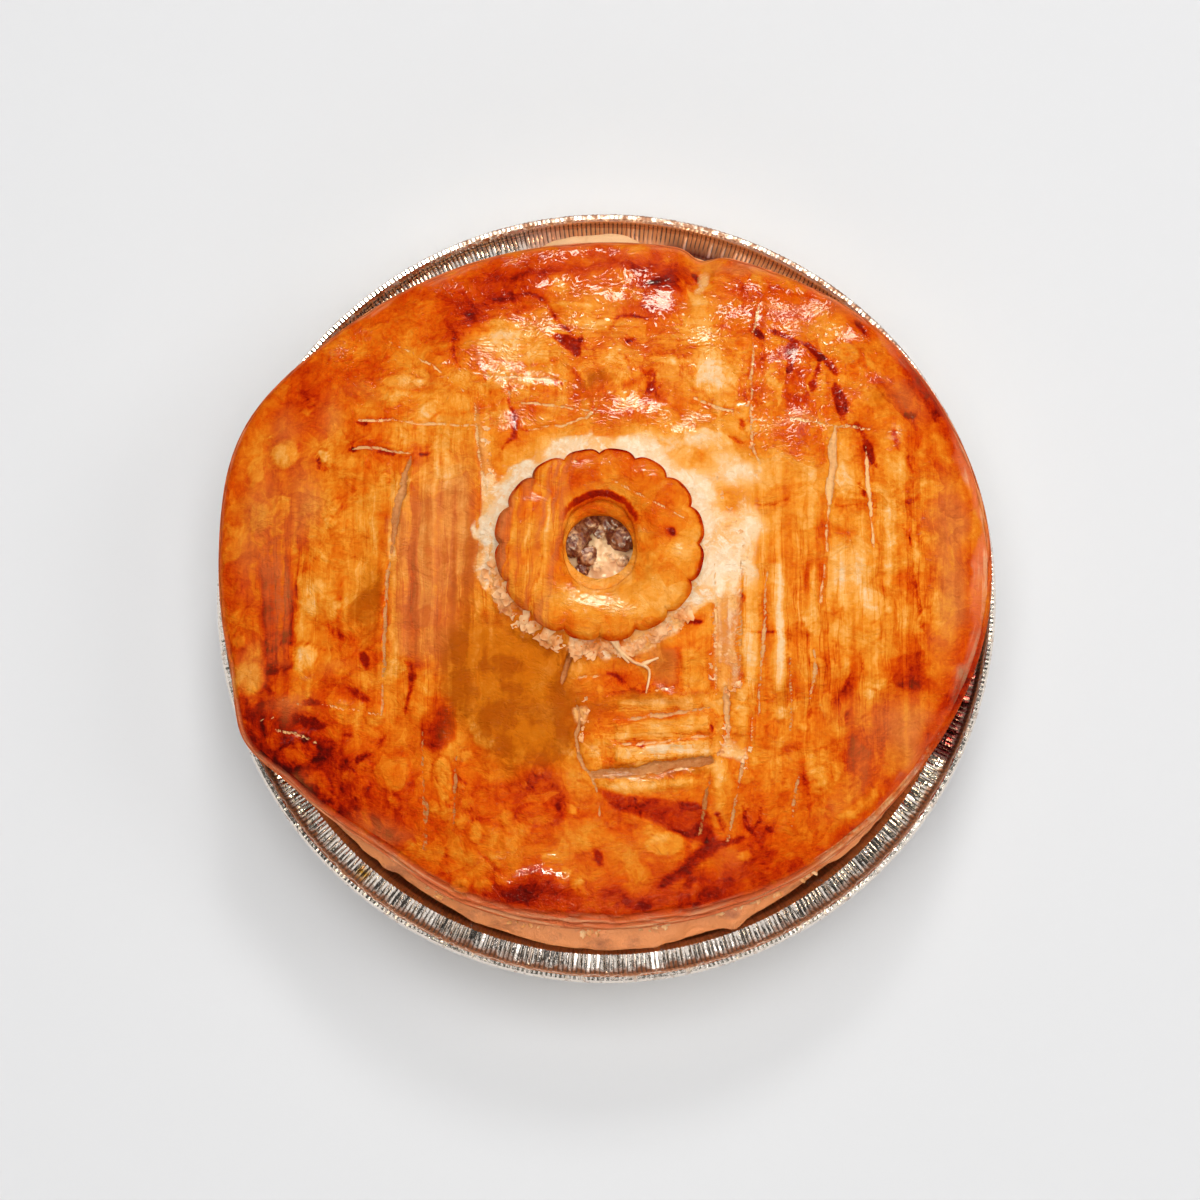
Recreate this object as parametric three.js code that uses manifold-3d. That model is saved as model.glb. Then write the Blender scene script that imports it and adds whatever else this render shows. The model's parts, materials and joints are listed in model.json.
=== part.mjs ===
// A family-size duck pie in its foil tin: a base crust full of minced filling, a domed lid of
// scored puff pastry sealed on its rim, and a fluted pastry ring round the steam vent.
// Millimetres, +Z up. The origin is the middle of the tin's underside; -Y is the pie's front.
import * as THREE from 'three';
import { mergeVertices } from 'three/addons/utils/BufferGeometryUtils.js';
import Module from 'manifold-3d';

// Foil tin
const FOIL = 0.6;
const TIN_BASE = 84;
const TIN_MOUTH = 101.6;
const TIN_OUTER = 110;
const TIN_CORNER = 5;
const SHELF = 36.5;
const BEAD = 1.35;
const BEAD_HEIGHT = 39.2;
const BEAD_TURNS = [-120, -50, 20, 90, 180];
const PLEATS = 56;
const PLEAT_DEPTH = 0.6;

// Room left between neighbouring pieces, and at the seams between crust, filling and lid
const GAP = 0.3;
const SEAM = 1.1;

// Base crust
const CRUST = 4.5;
const CRUST_WALL_GAP = 0.5;
const CRUST_DRAWN_IN = [
  { toward: -130, by: 2.2, over: 22 },
  { toward: -50, by: 2.2, over: 22 },
];
const CRUST_FLOOR = FOIL + GAP;
const CRUST_FLOOR_RADIUS = TIN_BASE - CRUST - TIN_CORNER;
const KNEE = SHELF / 3;
const LIP_OVER_SHELF = 106;
const LIP_IN_MOUTH = 100.9;
const LIP_WIDTH = 6;
const LIP_ROUND = 1.2;
const LIP_SPREADS = { from: 0.55, to: 0.85 };
const LIP_HELD_IN = [
  { toward: -30, over: 22 },
  { toward: -150, over: 22 },
];

// Lid, described from the steam vent's axis
const VENT = { x: -2, y: 7.5 };
const LID_CENTRE = { x: 0, y: 3.3 };
const LID_RADIUS = 102.3;
const LID_OVAL = 6.4;
const LID_THICKNESS = 5;
const EDGE_HEIGHT = 45.8;
const EDGE_LIFT = 3.5;
const APEX = 66.5;
const DOME_FULLNESS = 2.3;
const DOME_SHOULDER = 0.85;
const LID_EDGE = [
  { height: 0, inset: 1.2 },
  { height: 0.35, inset: 0 },
  { height: 0.7, inset: 0.3 },
  { height: 1, inset: 1.8 },
];
const FRONT_FLARE = { toward: -95, by: 4.2, over: 48 };
const VENT_RADIUS = 9.2;
const COLLAR = { height: 2.5, inside: 2, skirt: 6 };

// Where the lid's rim swells or draws in: direction, amount and spread, in degrees and mm
const RIM_SWELLS = [
  { toward: 41, by: 1.5, over: 14 },
  { toward: 160, by: 4, over: 14 },
  { toward: -153, by: 4.5, over: 7 },
  { toward: -127, by: -2.5, over: 10 },
  { toward: -33, by: -2.4, over: 22 },
];
const NOTCH = { toward: 71.5, by: 2.4, over: 2.6, depth: 2.2, length: 24 };

// Fluted ring
const RING_HALF = { x: 28.7, y: 26.6 };
const RING_MOUTH_HALF = { x: 10.6, y: 13 };
const RING_THICKNESS = 4.4;
const RING_ROUND = 1.5;
const RING_CROWN = 0.5;
const RING_SEAT = 0.5;
const FLUTES = 16;
const FLUTE_DEPTH = 1.3;

// Minced pieces that show in the vent
const MINCE_RADIUS = 3.1;
const MINCE_CIRCLE = 5.1;
const MINCE_AROUND = 6;
const MINCE_FLATTENED = { y: 0.86, z: 0.8 };
const MINCE_UNEVEN = 0.12;
const MINCE_STANDS = 0.2;

// Score cuts in the lid: the points each runs through, its width and its depth
const CUTS = [
  { through: [[-54.5, 34.5], [-58.5, 3], [-62, -38]], width: 2.6, depth: 1.8 },
  { through: [[-36.5, 49.5], [-33, 29]], width: 3, depth: 1.8 },
  { through: [[-69.5, 44.5], [-36.5, 43]], width: 1.8, depth: 1.2 },
  { through: [[-70.5, 36], [-46, 35]], width: 1.6, depth: 1.2 },
  { through: [[-94, -25], [-76, -31], [-58, -38]], width: 2.2, depth: 1.4 },
  { through: [[45, 79], [40.5, 43], [42, 31]], width: 2, depth: 1.5 },
  { through: [[63, 41], [61, 20], [60, 5], [57, -31]], width: 2.6, depth: 1.6 },
  { through: [[71.5, 38], [73.5, 15], [73.5, 3]], width: 1.8, depth: 1.3 },
  { through: [[31.5, 3], [32.8, -31], [31.3, -50], [26, -70]], width: 6, depth: 2 },
  { through: [[43.5, 5], [40.5, -48]], width: 1.8, depth: 1.2 },
  { through: [[50.5, 2.5], [52, -36.5]], width: 1.6, depth: 1.2 },
  { through: [[-10.5, -25], [-8, -38.5], [-2.5, -62]], width: 3, depth: 1.6 },
  { through: [[-5, -37.5], [28, -34]], width: 3.4, depth: 1.5 },
  { through: [[-7, -46.5], [28, -44.5]], width: 2.6, depth: 1.5 },
  { through: [[-3.5, -55], [28, -51.5]], width: 3.6, depth: 1.6 },
  { through: [[34, 44.5], [63, 44], [83.5, 43]], width: 1.8, depth: 1.1 },
];
const CUT_STATIONS = 9;
const CUT_TAPER = 0.6;

// Fineness of the faceted solids
const TIN_SECTORS = 2 * PLEATS;
const PIE_SECTORS = 72;
const RING_SECTORS = 5 * FLUTES;
const LID_ROWS = 12;
const UNDERSIDE_ROWS = 5;

const TURN = 2 * Math.PI;
const { lerp, smoothstep, degToRad, radToDeg, euclideanModulo } = THREE.MathUtils;
const wasm = await Module();
wasm.setup();

// A closed body from a lathe's faces, each column of points set by section(angle).
function turned(sectors, section) {
  const columns = Array.from({ length: sectors }, (_, i) => section((TURN * i) / sectors));
  const rows = columns[0].length;
  const template = Array.from({ length: rows }, (_, row) => new THREE.Vector2(1, row));
  const geometry = new THREE.LatheGeometry(template, sectors);
  const position = geometry.getAttribute('position');
  for (let i = 0; i < position.count; i++) {
    position.setXYZ(i, ...columns[Math.floor(i / rows) % sectors][i % rows]);
  }
  return welded(geometry);
}

// Merges the seam and the poles, and drops the faces that collapse there.
function welded(geometry) {
  geometry.deleteAttribute('normal');
  geometry.deleteAttribute('uv');
  const merged = mergeVertices(geometry);
  const corners = merged.getIndex().array;
  const kept = [];
  for (let i = 0; i < corners.length; i += 3) {
    const [a, b, c] = corners.slice(i, i + 3);
    if (a !== b && b !== c && c !== a) kept.push(a, b, c);
  }
  merged.setIndex(kept);
  merged.computeVertexNormals();
  return merged;
}

function toSolid(geometry) {
  return new wasm.Manifold(new wasm.Mesh({
    numProp: 3,
    vertProperties: Float32Array.from(geometry.getAttribute('position').array),
    triVerts: Uint32Array.from(geometry.getIndex().array),
  }));
}

function toGeometry(solid) {
  const mesh = solid.getMesh();
  const geometry = new THREE.BufferGeometry();
  geometry.setAttribute('position', new THREE.BufferAttribute(mesh.vertProperties, 3));
  geometry.setIndex(new THREE.BufferAttribute(mesh.triVerts, 1));
  geometry.computeVertexNormals();
  return geometry;
}

const aroundTin = (angle, r, z) => [r * Math.cos(angle), r * Math.sin(angle), z];
const aroundVent = (angle, r) => [VENT.x + r * Math.cos(angle), VENT.y + r * Math.sin(angle)];

// 1 in the given direction, falling to 0 away from it.
function bell(angle, { toward, over }) {
  const away = euclideanModulo(radToDeg(angle) - toward + 180, 360) - 180;
  return Math.exp(-((away / over) ** 2));
}

// Radius of an oval in the given direction from its middle.
const ovalRadius = (half, angle) => 1 / Math.hypot(Math.cos(angle) / half.x, Math.sin(angle) / half.y);

// The tin's inner wall leans out evenly from the base to the mouth.
const tinInside = (z) => lerp(TIN_BASE, TIN_MOUTH, z / SHELF);

function tinSection(angle) {
  const valley = PLEAT_DEPTH * (0.5 - 0.5 * Math.cos(PLEATS * angle));
  const wall = FOIL * Math.hypot(1, (TIN_MOUTH - TIN_BASE) / SHELF);
  const heel = TIN_CORNER / 4;
  const riser = TIN_OUTER - 2 * BEAD;
  const beadMiddle = TIN_OUTER - BEAD;
  const bead = BEAD_TURNS.map((turn) => {
    const radius = BEAD - (turn < 180 ? valley / 2 : 0);
    return [beadMiddle + radius * Math.cos(degToRad(turn)), BEAD_HEIGHT + radius * Math.sin(degToRad(turn))];
  });
  const outline = [
    [0, 0],
    [TIN_BASE - TIN_CORNER, 0],
    [tinInside(heel) - heel, heel - FOIL / 2],
    [tinInside(TIN_CORNER) + wall, TIN_CORNER],
    [tinInside(SHELF - FOIL) + wall + valley, SHELF - FOIL - valley],
    [riser + FOIL, SHELF - FOIL - valley],
    ...bead,
    [riser, SHELF - valley],
    [TIN_MOUTH + valley, SHELF - valley],
    [tinInside(TIN_CORNER), TIN_CORNER],
    [tinInside(heel) - heel, heel + FOIL / 2],
    [TIN_BASE - TIN_CORNER, FOIL],
    [0, FOIL],
  ];
  return outline.map(([r, z]) => aroundTin(angle, r, z));
}

// Distance from the vent's axis to the edge of the lid.
function lidReach(angle) {
  const swell = RIM_SWELLS.reduce((sum, place) => sum + place.by * bell(angle, place), 0);
  return LID_RADIUS + LID_OVAL * Math.cos(2 * angle)
    + (LID_CENTRE.x - VENT.x) * Math.cos(angle) + (LID_CENTRE.y - VENT.y) * Math.sin(angle)
    + swell - NOTCH.by * bell(angle, NOTCH);
}

// The lid's smooth dome, before the collar and the notch.
function dome(x, y) {
  const angle = Math.atan2(y - VENT.y, x - VENT.x);
  const share = Math.min(1, Math.hypot(x - VENT.x, y - VENT.y) / lidReach(angle));
  const edge = EDGE_HEIGHT + EDGE_LIFT * Math.sin(angle) ** 2;
  return edge + (APEX - edge) * (1 - share ** DOME_FULLNESS) ** DOME_SHOULDER;
}

const lidUnderside = (x, y) => dome(x, y) - LID_THICKNESS;

// The lid's top: the dome, drawn up towards the ring and creased at the notch.
function lidTop(x, y) {
  const angle = Math.atan2(y - VENT.y, x - VENT.x);
  const away = Math.hypot(x - VENT.x, y - VENT.y);
  const ring = ovalRadius(RING_HALF, angle);
  const collar = COLLAR.height * (1 - smoothstep(away, ring - COLLAR.inside, ring + COLLAR.skirt));
  const reach = lidReach(angle);
  const crease = NOTCH.depth * bell(angle, NOTCH) * smoothstep(away, reach - NOTCH.length, reach);
  return dome(x, y) + collar - crease;
}

function lidSection(angle) {
  const reach = lidReach(angle);
  const flare = FRONT_FLARE.by * bell(angle, FRONT_FLARE);
  const foot = reach - LID_EDGE.at(0).inset + flare;
  const shoulder = reach - LID_EDGE.at(-1).inset;
  const edge = LID_EDGE.map(({ height, inset }) => {
    const [x, y] = aroundVent(angle, reach - inset + flare * (1 - height));
    return [x, y, lerp(lidUnderside(x, y), lidTop(x, y), height)];
  });
  const top = Array.from({ length: LID_ROWS }, (_, row) => {
    const [x, y] = aroundVent(angle, lerp(shoulder, VENT_RADIUS, (row + 1) / LID_ROWS));
    return [x, y, lidTop(x, y)];
  });
  const underside = Array.from({ length: UNDERSIDE_ROWS }, (_, row) => {
    const [x, y] = aroundVent(angle, lerp(VENT_RADIUS, foot, row / UNDERSIDE_ROWS));
    return [x, y, lidUnderside(x, y)];
  });
  return [...edge, ...top, ...underside, edge[0]];
}

// A blade-shaped body along a cut, thin at both ends, which opens a groove in the lid.
function cutBlade({ through, width, depth }) {
  const path = new THREE.CatmullRomCurve3(through.map(([x, y]) => new THREE.Vector3(x, y, 0)));
  return turned(4, (side) => Array.from({ length: CUT_STATIONS }, (_, i) => {
    const along = i / (CUT_STATIONS - 1);
    const middle = path.getPoint(along);
    const heading = path.getTangent(along);
    const fullness = Math.sin(Math.PI * along) ** CUT_TAPER;
    const out = (width / 2) * fullness * Math.cos(side);
    const x = middle.x - heading.y * out;
    const y = middle.y + heading.x * out;
    return [x, y, lidTop(x, y) + depth * fullness * Math.sin(side)];
  }));
}

// Distance from the tin's axis to the lower edge of the lid.
function lidEdgeFromAxis(angle) {
  let r = LID_RADIUS;
  for (let i = 0; i < 6; i++) {
    const dx = r * Math.cos(angle) - VENT.x;
    const dy = r * Math.sin(angle) - VENT.y;
    r *= lidReach(Math.atan2(dy, dx)) / Math.hypot(dx, dy);
  }
  return r + FRONT_FLARE.by * bell(angle, FRONT_FLARE) - LID_EDGE.at(0).inset;
}

// The crust's outer wall, its gap to the tin and its lip at one angle.
function crustRim(angle) {
  const shrink = CRUST_DRAWN_IN.reduce((sum, place) => sum + place.by * bell(angle, place), 0);
  const gap = CRUST_WALL_GAP + shrink;
  const spread = smoothstep(Math.abs(Math.cos(angle)), LIP_SPREADS.from, LIP_SPREADS.to);
  const overShelf = LIP_HELD_IN.reduce((share, place) => share * (1 - bell(angle, place)), spread);
  const lip = lerp(LIP_IN_MOUTH - shrink, LIP_OVER_SHELF, overShelf);
  const seal = Math.min(lip - LIP_ROUND, lidEdgeFromAxis(angle) - GAP);
  return { gap, lip, seal };
}

// The crust's outer radius low on the wall, where it still follows the tin.
const crustOutside = (z, gap) => tinInside(z) - CRUST_WALL_GAP - (gap - CRUST_WALL_GAP) * (z / SHELF);

const crustTop = (angle, r) => lidUnderside(r * Math.cos(angle), r * Math.sin(angle)) - SEAM;
const crustInside = (z, gap) => crustOutside(z, gap) - CRUST * Math.hypot(1, (TIN_MOUTH - TIN_BASE) / SHELF);

function crustSection(angle) {
  const { gap, lip, seal } = crustRim(angle);
  const mouth = crustOutside(SHELF, gap);
  const lipFoot = SHELF + 3 * GAP;
  const outline = [
    [0, CRUST_FLOOR],
    [TIN_BASE - TIN_CORNER - LIP_ROUND, CRUST_FLOOR],
    [crustOutside(TIN_CORNER, gap), TIN_CORNER],
    [crustOutside(SHELF - LIP_ROUND, gap), SHELF - LIP_ROUND],
    [mouth, lipFoot],
    [Math.max(lip - LIP_ROUND, mouth), lipFoot],
    [lip, lipFoot + LIP_ROUND],
    [seal, crustTop(angle, seal)],
    [seal - LIP_WIDTH, crustTop(angle, seal - LIP_WIDTH)],
    [crustInside(KNEE, gap), KNEE],
    [CRUST_FLOOR_RADIUS, CRUST_FLOOR + CRUST],
    [0, CRUST_FLOOR + CRUST],
  ];
  return outline.map(([r, z]) => aroundTin(angle, r, z));
}

function fillingSection(angle) {
  const { gap, seal } = crustRim(angle);
  const floor = CRUST_FLOOR + CRUST + GAP;
  const wallSeam = 1.5 * SEAM;
  const shoulder = seal - LIP_WIDTH - wallSeam;
  const outline = [
    [0, floor],
    [CRUST_FLOOR_RADIUS - SEAM, floor],
    [crustInside(KNEE, gap) - wallSeam, KNEE + SEAM],
    [shoulder, crustTop(angle, shoulder) - SEAM],
  ];
  for (let row = 1; row <= UNDERSIDE_ROWS; row++) {
    const r = shoulder * (1 - row / UNDERSIDE_ROWS);
    outline.push([r, crustTop(angle, r)]);
  }
  return outline.map(([r, z]) => aroundTin(angle, r, z));
}

// A pebble of mince seated in the top of the filling under the vent.
function minceLump(index) {
  const inMiddle = index === MINCE_AROUND;
  const size = MINCE_RADIUS * (1 + MINCE_UNEVEN * Math.cos(index * index));
  const angle = (TURN * (index + MINCE_UNEVEN * Math.sin(index * index))) / MINCE_AROUND;
  const [x, y] = aroundVent(angle, inMiddle ? 0 : MINCE_CIRCLE);
  const lump = new THREE.IcosahedronGeometry(size, 1);
  lump.scale(1, MINCE_FLATTENED.y, MINCE_FLATTENED.z);
  lump.rotateZ(angle);
  lump.translate(x, y, lidUnderside(x, y) - GAP + size * MINCE_STANDS);
  return welded(lump);
}

// The ring's outer radius, drawn in at each of the cutter's flutes.
function ringOutside(angle) {
  const flute = 1 - Math.abs(Math.sin((FLUTES / 2) * angle));
  return ovalRadius(RING_HALF, angle) - FLUTE_DEPTH * flute ** 2;
}

function ringSection(angle) {
  const outer = ringOutside(angle);
  const mouth = ovalRadius(RING_MOUTH_HALF, angle);
  const middle = (outer + mouth) / 2;
  const outline = [
    [outer - RING_ROUND / 3, 0],
    [outer, RING_ROUND],
    [outer, RING_THICKNESS - RING_ROUND],
    [outer - RING_ROUND, RING_THICKNESS],
    [middle, RING_THICKNESS + RING_CROWN],
    [mouth + RING_ROUND, RING_THICKNESS],
    [mouth, RING_THICKNESS - RING_ROUND],
    [mouth - RING_ROUND / 2, 0],
    [middle, 0],
    [outer - RING_ROUND / 3, 0],
  ];
  return outline.map(([r, height]) => {
    const [x, y] = aroundVent(angle, r);
    return [x, y, lidTop(x, y) + RING_SEAT + height];
  });
}

const pie = new THREE.Group();

function addPiece(name, geometry, color, roughness, metalness) {
  const piece = new THREE.Mesh(geometry, new THREE.MeshStandardMaterial({ color, roughness, metalness }));
  piece.name = name;
  pie.add(piece);
}

addPiece('foil_tin', turned(TIN_SECTORS, tinSection), 0xc9cacb, 0.3, 1);
addPiece('base_crust', turned(PIE_SECTORS, crustSection), 0xc98a45, 0.6, 0);

let filling = toSolid(turned(PIE_SECTORS, fillingSection));
for (let index = 0; index <= MINCE_AROUND; index++) {
  filling = filling.add(toSolid(minceLump(index)));
}
addPiece('filling', toGeometry(filling), 0x8a5a2b, 0.5, 0);

let lid = toSolid(turned(PIE_SECTORS, lidSection));
for (const cut of CUTS) {
  lid = lid.subtract(toSolid(cutBlade(cut)));
}
addPiece('lid', toGeometry(lid), 0xd98a2b, 0.35, 0);
addPiece('vent_ring', turned(RING_SECTORS, ringSection), 0xdc9a3a, 0.3, 0);

export default pie;
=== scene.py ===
import json
import math
import bmesh
import bpy
import numpy as np
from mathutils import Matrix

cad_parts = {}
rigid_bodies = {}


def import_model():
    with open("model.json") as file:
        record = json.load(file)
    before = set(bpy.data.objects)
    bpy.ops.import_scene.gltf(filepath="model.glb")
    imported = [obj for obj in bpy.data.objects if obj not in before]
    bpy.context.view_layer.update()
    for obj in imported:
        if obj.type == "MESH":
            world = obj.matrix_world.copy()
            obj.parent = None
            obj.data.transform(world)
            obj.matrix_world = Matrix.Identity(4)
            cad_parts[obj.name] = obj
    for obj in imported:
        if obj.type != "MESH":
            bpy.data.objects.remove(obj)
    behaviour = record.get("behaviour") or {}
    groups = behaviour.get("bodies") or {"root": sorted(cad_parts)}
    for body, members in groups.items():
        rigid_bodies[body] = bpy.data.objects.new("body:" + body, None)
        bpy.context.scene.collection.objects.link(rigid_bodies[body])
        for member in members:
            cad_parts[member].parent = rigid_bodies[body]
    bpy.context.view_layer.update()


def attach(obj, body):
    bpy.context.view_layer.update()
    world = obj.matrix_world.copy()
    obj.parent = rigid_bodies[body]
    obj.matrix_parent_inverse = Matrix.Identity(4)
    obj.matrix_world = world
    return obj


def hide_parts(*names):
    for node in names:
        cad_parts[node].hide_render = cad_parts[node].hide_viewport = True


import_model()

# Foil tin
# A dish pressed from thin aluminium foil. Its wall and shelf are gathered into several hundred fine
# pleats, and its edge is rolled outwards over itself into a crimped bead that stiffens the rim.
MM = 0.001
TURN = 2 * math.pi
FOIL = 0.3
TIN_BASE = 84.0
TIN_MOUTH = 101.6
TIN_OUTER = 110.0
TIN_FLAT = 78.0
SHELF = 36.5
BEAD = 1.3
BEAD_HEIGHT = 39.2
BEAD_TURNS = (150, 105, 60, 15, -30, -75, -120)
PLEATS = 520
PLEAT_FOLD = 0.36
PLEAT_KINDS = 9
CRUMPLE = 0.06
RISER_STAIN = 107.3
BEAD_STAIN = (107.6, 108.2)
TOASTED_TOWARD = 72
EGG_SPOT = (-68, -79.5)
SILVER = (0.88, 0.78, 0.69, 1)
BAKED_STAIN = (0.24, 0.085, 0.03, 1)
EGG_DRIP = (0.72, 0.36, 0.02, 1)
TOASTED_FOIL = (0.72, 0.30, 0.11, 1)
# Painted near-black red: a reflection of the lid's edge in the rim at the right, and shadow in the gap at
# the notch
PAINTED_DARK_RED = (0.09, 0.004, 0.004, 1)
FOLD_SHADOW = (0.085, 0.055, 0.04, 1)


def feed(tree, node, sockets):
    """Gives each socket of a node its value, or a link from the output, or the node, given for it."""
    for socket, value in sockets.items():
        if isinstance(value, bpy.types.Node):
            value = value.outputs[0]
        if isinstance(value, bpy.types.NodeSocket):
            tree.links.new(value, node.inputs[socket])
        else:
            node.inputs[socket].default_value = value


def place(tree, kind, sockets=(), **settings):
    """Adds a node to a tree and feeds its sockets."""
    node = tree.nodes.new(kind)
    for setting, value in settings.items():
        setattr(node, setting, value)
    feed(tree, node, dict(sockets))
    return node


def reckon(tree, operation, *values):
    """One step of arithmetic on numbers."""
    return place(tree, "ShaderNodeMath", enumerate(values), operation=operation).outputs[0]


def start_tree(name, sizes):
    """A geometry tree with a named input for each size, and its input and output nodes."""
    tree = bpy.data.node_groups.new(name, "GeometryNodeTree")
    tree.interface.new_socket("Geometry", in_out="OUTPUT", socket_type="NodeSocketGeometry")
    tree.interface.new_socket("Geometry", in_out="INPUT", socket_type="NodeSocketGeometry")
    for label, value in sizes.items():
        kind = "NodeSocketInt" if isinstance(value, int) else "NodeSocketFloat"
        tree.interface.new_socket(label, in_out="INPUT", socket_type=kind)
    return tree, tree.nodes.new("NodeGroupInput"), tree.nodes.new("NodeGroupOutput")


def grow(piece, tree, sizes):
    """Runs a tree on a piece with the given sizes and keeps what it makes as a plain mesh."""
    modifier = piece.modifiers.new(tree.name, "NODES")
    modifier.node_group = tree
    for item in tree.interface.items_tree:
        if item.in_out == "INPUT" and item.name in sizes:
            modifier[item.identifier] = sizes[item.name]
    graph = bpy.context.evaluated_depsgraph_get()
    made = piece.evaluated_get(graph)
    mesh = bpy.data.meshes.new_from_object(made, preserve_all_data_layers=True, depsgraph=graph)
    piece.modifiers.clear()
    piece.data = mesh
    return piece


def coat(tree, result, shape, finish):
    """Ends a tree: what it made, as one mesh with a material."""
    made = place(tree, "GeometryNodeRealizeInstances", {"Geometry": shape})
    coated = place(tree, "GeometryNodeSetMaterial", {"Geometry": made, "Material": finish})
    feed(tree, result, {0: coated})
    return tree


def new_piece(name, mesh):
    piece = bpy.data.objects.new(name, mesh)
    bpy.context.scene.collection.objects.link(piece)
    return piece


def note(mesh, name, values):
    """Keeps one number for each point of a mesh, for its material to read."""
    layer = mesh.attributes.new(name, "FLOAT", "POINT")
    layer.data.foreach_set("value", np.asarray(values, np.float32).ravel())


def smoothstep(value, low, high):
    share = np.clip((value - low) / (high - low), 0, 1)
    return share * share * (3 - 2 * share)


def bell(angle, toward, over):
    """1 in one direction, falling to 0 away from it, in degrees."""
    away = (np.degrees(angle) - toward + 180) % 360 - 180
    return np.exp(-((away / over) ** 2))


def pleat(height, skew):
    """One pleat of the tin as a strip of foil from the base up the wall, over the bead and back."""
    riser = TIN_OUTER - 2 * BEAD
    lean = (TIN_MOUTH - TIN_BASE) / SHELF
    inside = [(TIN_FLAT, FOIL, 0.0), (TIN_BASE - 1.4, 0.8, 0.1), (TIN_BASE + 5 * lean, 5.0, 0.4)]
    inside += [(TIN_BASE + z * lean, z, 0.9) for z in (14.0, 25.0, 34.5)]
    inside += [(TIN_MOUTH + 0.6, SHELF - 0.2, 1.0), (TIN_MOUTH + 3.0, SHELF, 1.0)]
    inside += [(riser - 0.5, SHELF, 1.0), (riser, SHELF + 0.9, 0.8), (riser, BEAD_HEIGHT - 0.4, 0.5)]
    line = np.array(inside)
    along = np.gradient(line[:, :2], axis=0)
    normal = np.c_[-along[:, 1], along[:, 0]] / np.hypot(*along.T)[:, None]
    turns = np.radians(BEAD_TURNS)
    columns = []
    for side, raised in ((-1, -0.5), (skew, height), (1, -0.5)):
        fold = PLEAT_FOLD * raised * line[:, 2]
        inner = line[:, :2] + normal * fold[:, None]
        outer = inner - normal * FOIL
        crimp = BEAD + 0.3 * PLEAT_FOLD * raised
        bead = np.c_[TIN_OUTER - BEAD + crimp * np.cos(turns), BEAD_HEIGHT + crimp * np.sin(turns)]
        section = np.vstack([inner, bead, outer[::-1]])
        share = np.concatenate([line[:, 2], np.full(len(bead), 0.8), line[::-1, 2]])
        angle = (side if abs(side) == 1 else side * share) * math.pi / PLEATS
        columns.append(np.c_[section[:, 0] * np.cos(angle), section[:, 0] * np.sin(angle), section[:, 1]])
    rows = len(columns[0])
    faces = []
    for left in (0, rows):
        for row in range(rows - 1):
            near, far = left + row, left + rows + row
            faces.append((near, near + 1, far + 1, far))
    mesh = bpy.data.meshes.new("pleat")
    mesh.from_pydata(np.vstack(columns) * MM, [], faces)
    # Painted shade: how dark each pleat is painted along its valleys, more on the shelf than down the wall
    open_folds = 0.5 + 0.5 * smoothstep(line[:, 0], TIN_MOUTH + 0.6, TIN_MOUTH + 3.0)
    deepest = np.concatenate([open_folds, np.full(len(turns), 0.62), open_folds[::-1]])
    note(mesh, "valley", np.concatenate([deepest, 0 * deepest, deepest]))
    return mesh


class Finish:
    """A material in the making, with the steps that work out its colours and bumps."""

    def __init__(self, name):
        self.material = bpy.data.materials.new(name)
        self.material.use_nodes = True
        self.tree = self.material.node_tree
        self.here = place(self.tree, "ShaderNodeTexCoord").outputs["Object"]

    def noted(self, layer):
        """What the mesh keeps for its points under a name."""
        return place(self.tree, "ShaderNodeAttribute", attribute_name=layer).outputs["Fac"]

    def noise(self, spot, scale, detail, roughness=0.5):
        sockets = {"Vector": spot, "Scale": scale, "Detail": detail, "Roughness": roughness}
        return place(self.tree, "ShaderNodeTexNoise", sockets).outputs["Fac"]

    def streaks(self, spot, stretch, detail, roughness=0.6):
        """Noise with a scale of its own along each axis."""
        laid = place(self.tree, "ShaderNodeMapping", {"Vector": spot, "Scale": stretch})
        return self.noise(laid, 1.0, detail, roughness)

    def sum_of(self, first, second, times=1.0):
        return reckon(self.tree, "MULTIPLY_ADD", second, times, first)

    def product(self, first, second):
        return reckon(self.tree, "MULTIPLY", first, second)

    def ranged(self, value, low, high, to_low=0.0, to_high=1.0, rise="LINEAR"):
        """A value's share of the way from low to high, as a number from to_low to to_high."""
        sockets = {"Value": value, "From Min": low, "From Max": high, "To Min": to_low, "To Max": to_high}
        return place(self.tree, "ShaderNodeMapRange", sockets, interpolation_type=rise).outputs[0]

    def ramped(self, *limits):
        return self.ranged(*limits, rise="SMOOTHSTEP")

    def between(self, share, low, high):
        return place(self.tree, "ShaderNodeMix", {"Factor": share, 2: low, 3: high}).outputs[0]

    def blended(self, share, under, over):
        """One colour laid over another by a share."""
        sockets = {"Factor": share, 6: under, 7: over}
        return place(self.tree, "ShaderNodeMix", sockets, data_type="RGBA").outputs[2]

    def bumps(self, height, strength, depth):
        sockets = {"Height": height, "Strength": strength, "Distance": depth}
        return place(self.tree, "ShaderNodeBump", sockets).outputs[0]

    def done(self, sockets):
        """Feeds the shader and hands over the material."""
        feed(self.tree, self.tree.nodes["Principled BSDF"], sockets)
        return self.material


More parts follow.
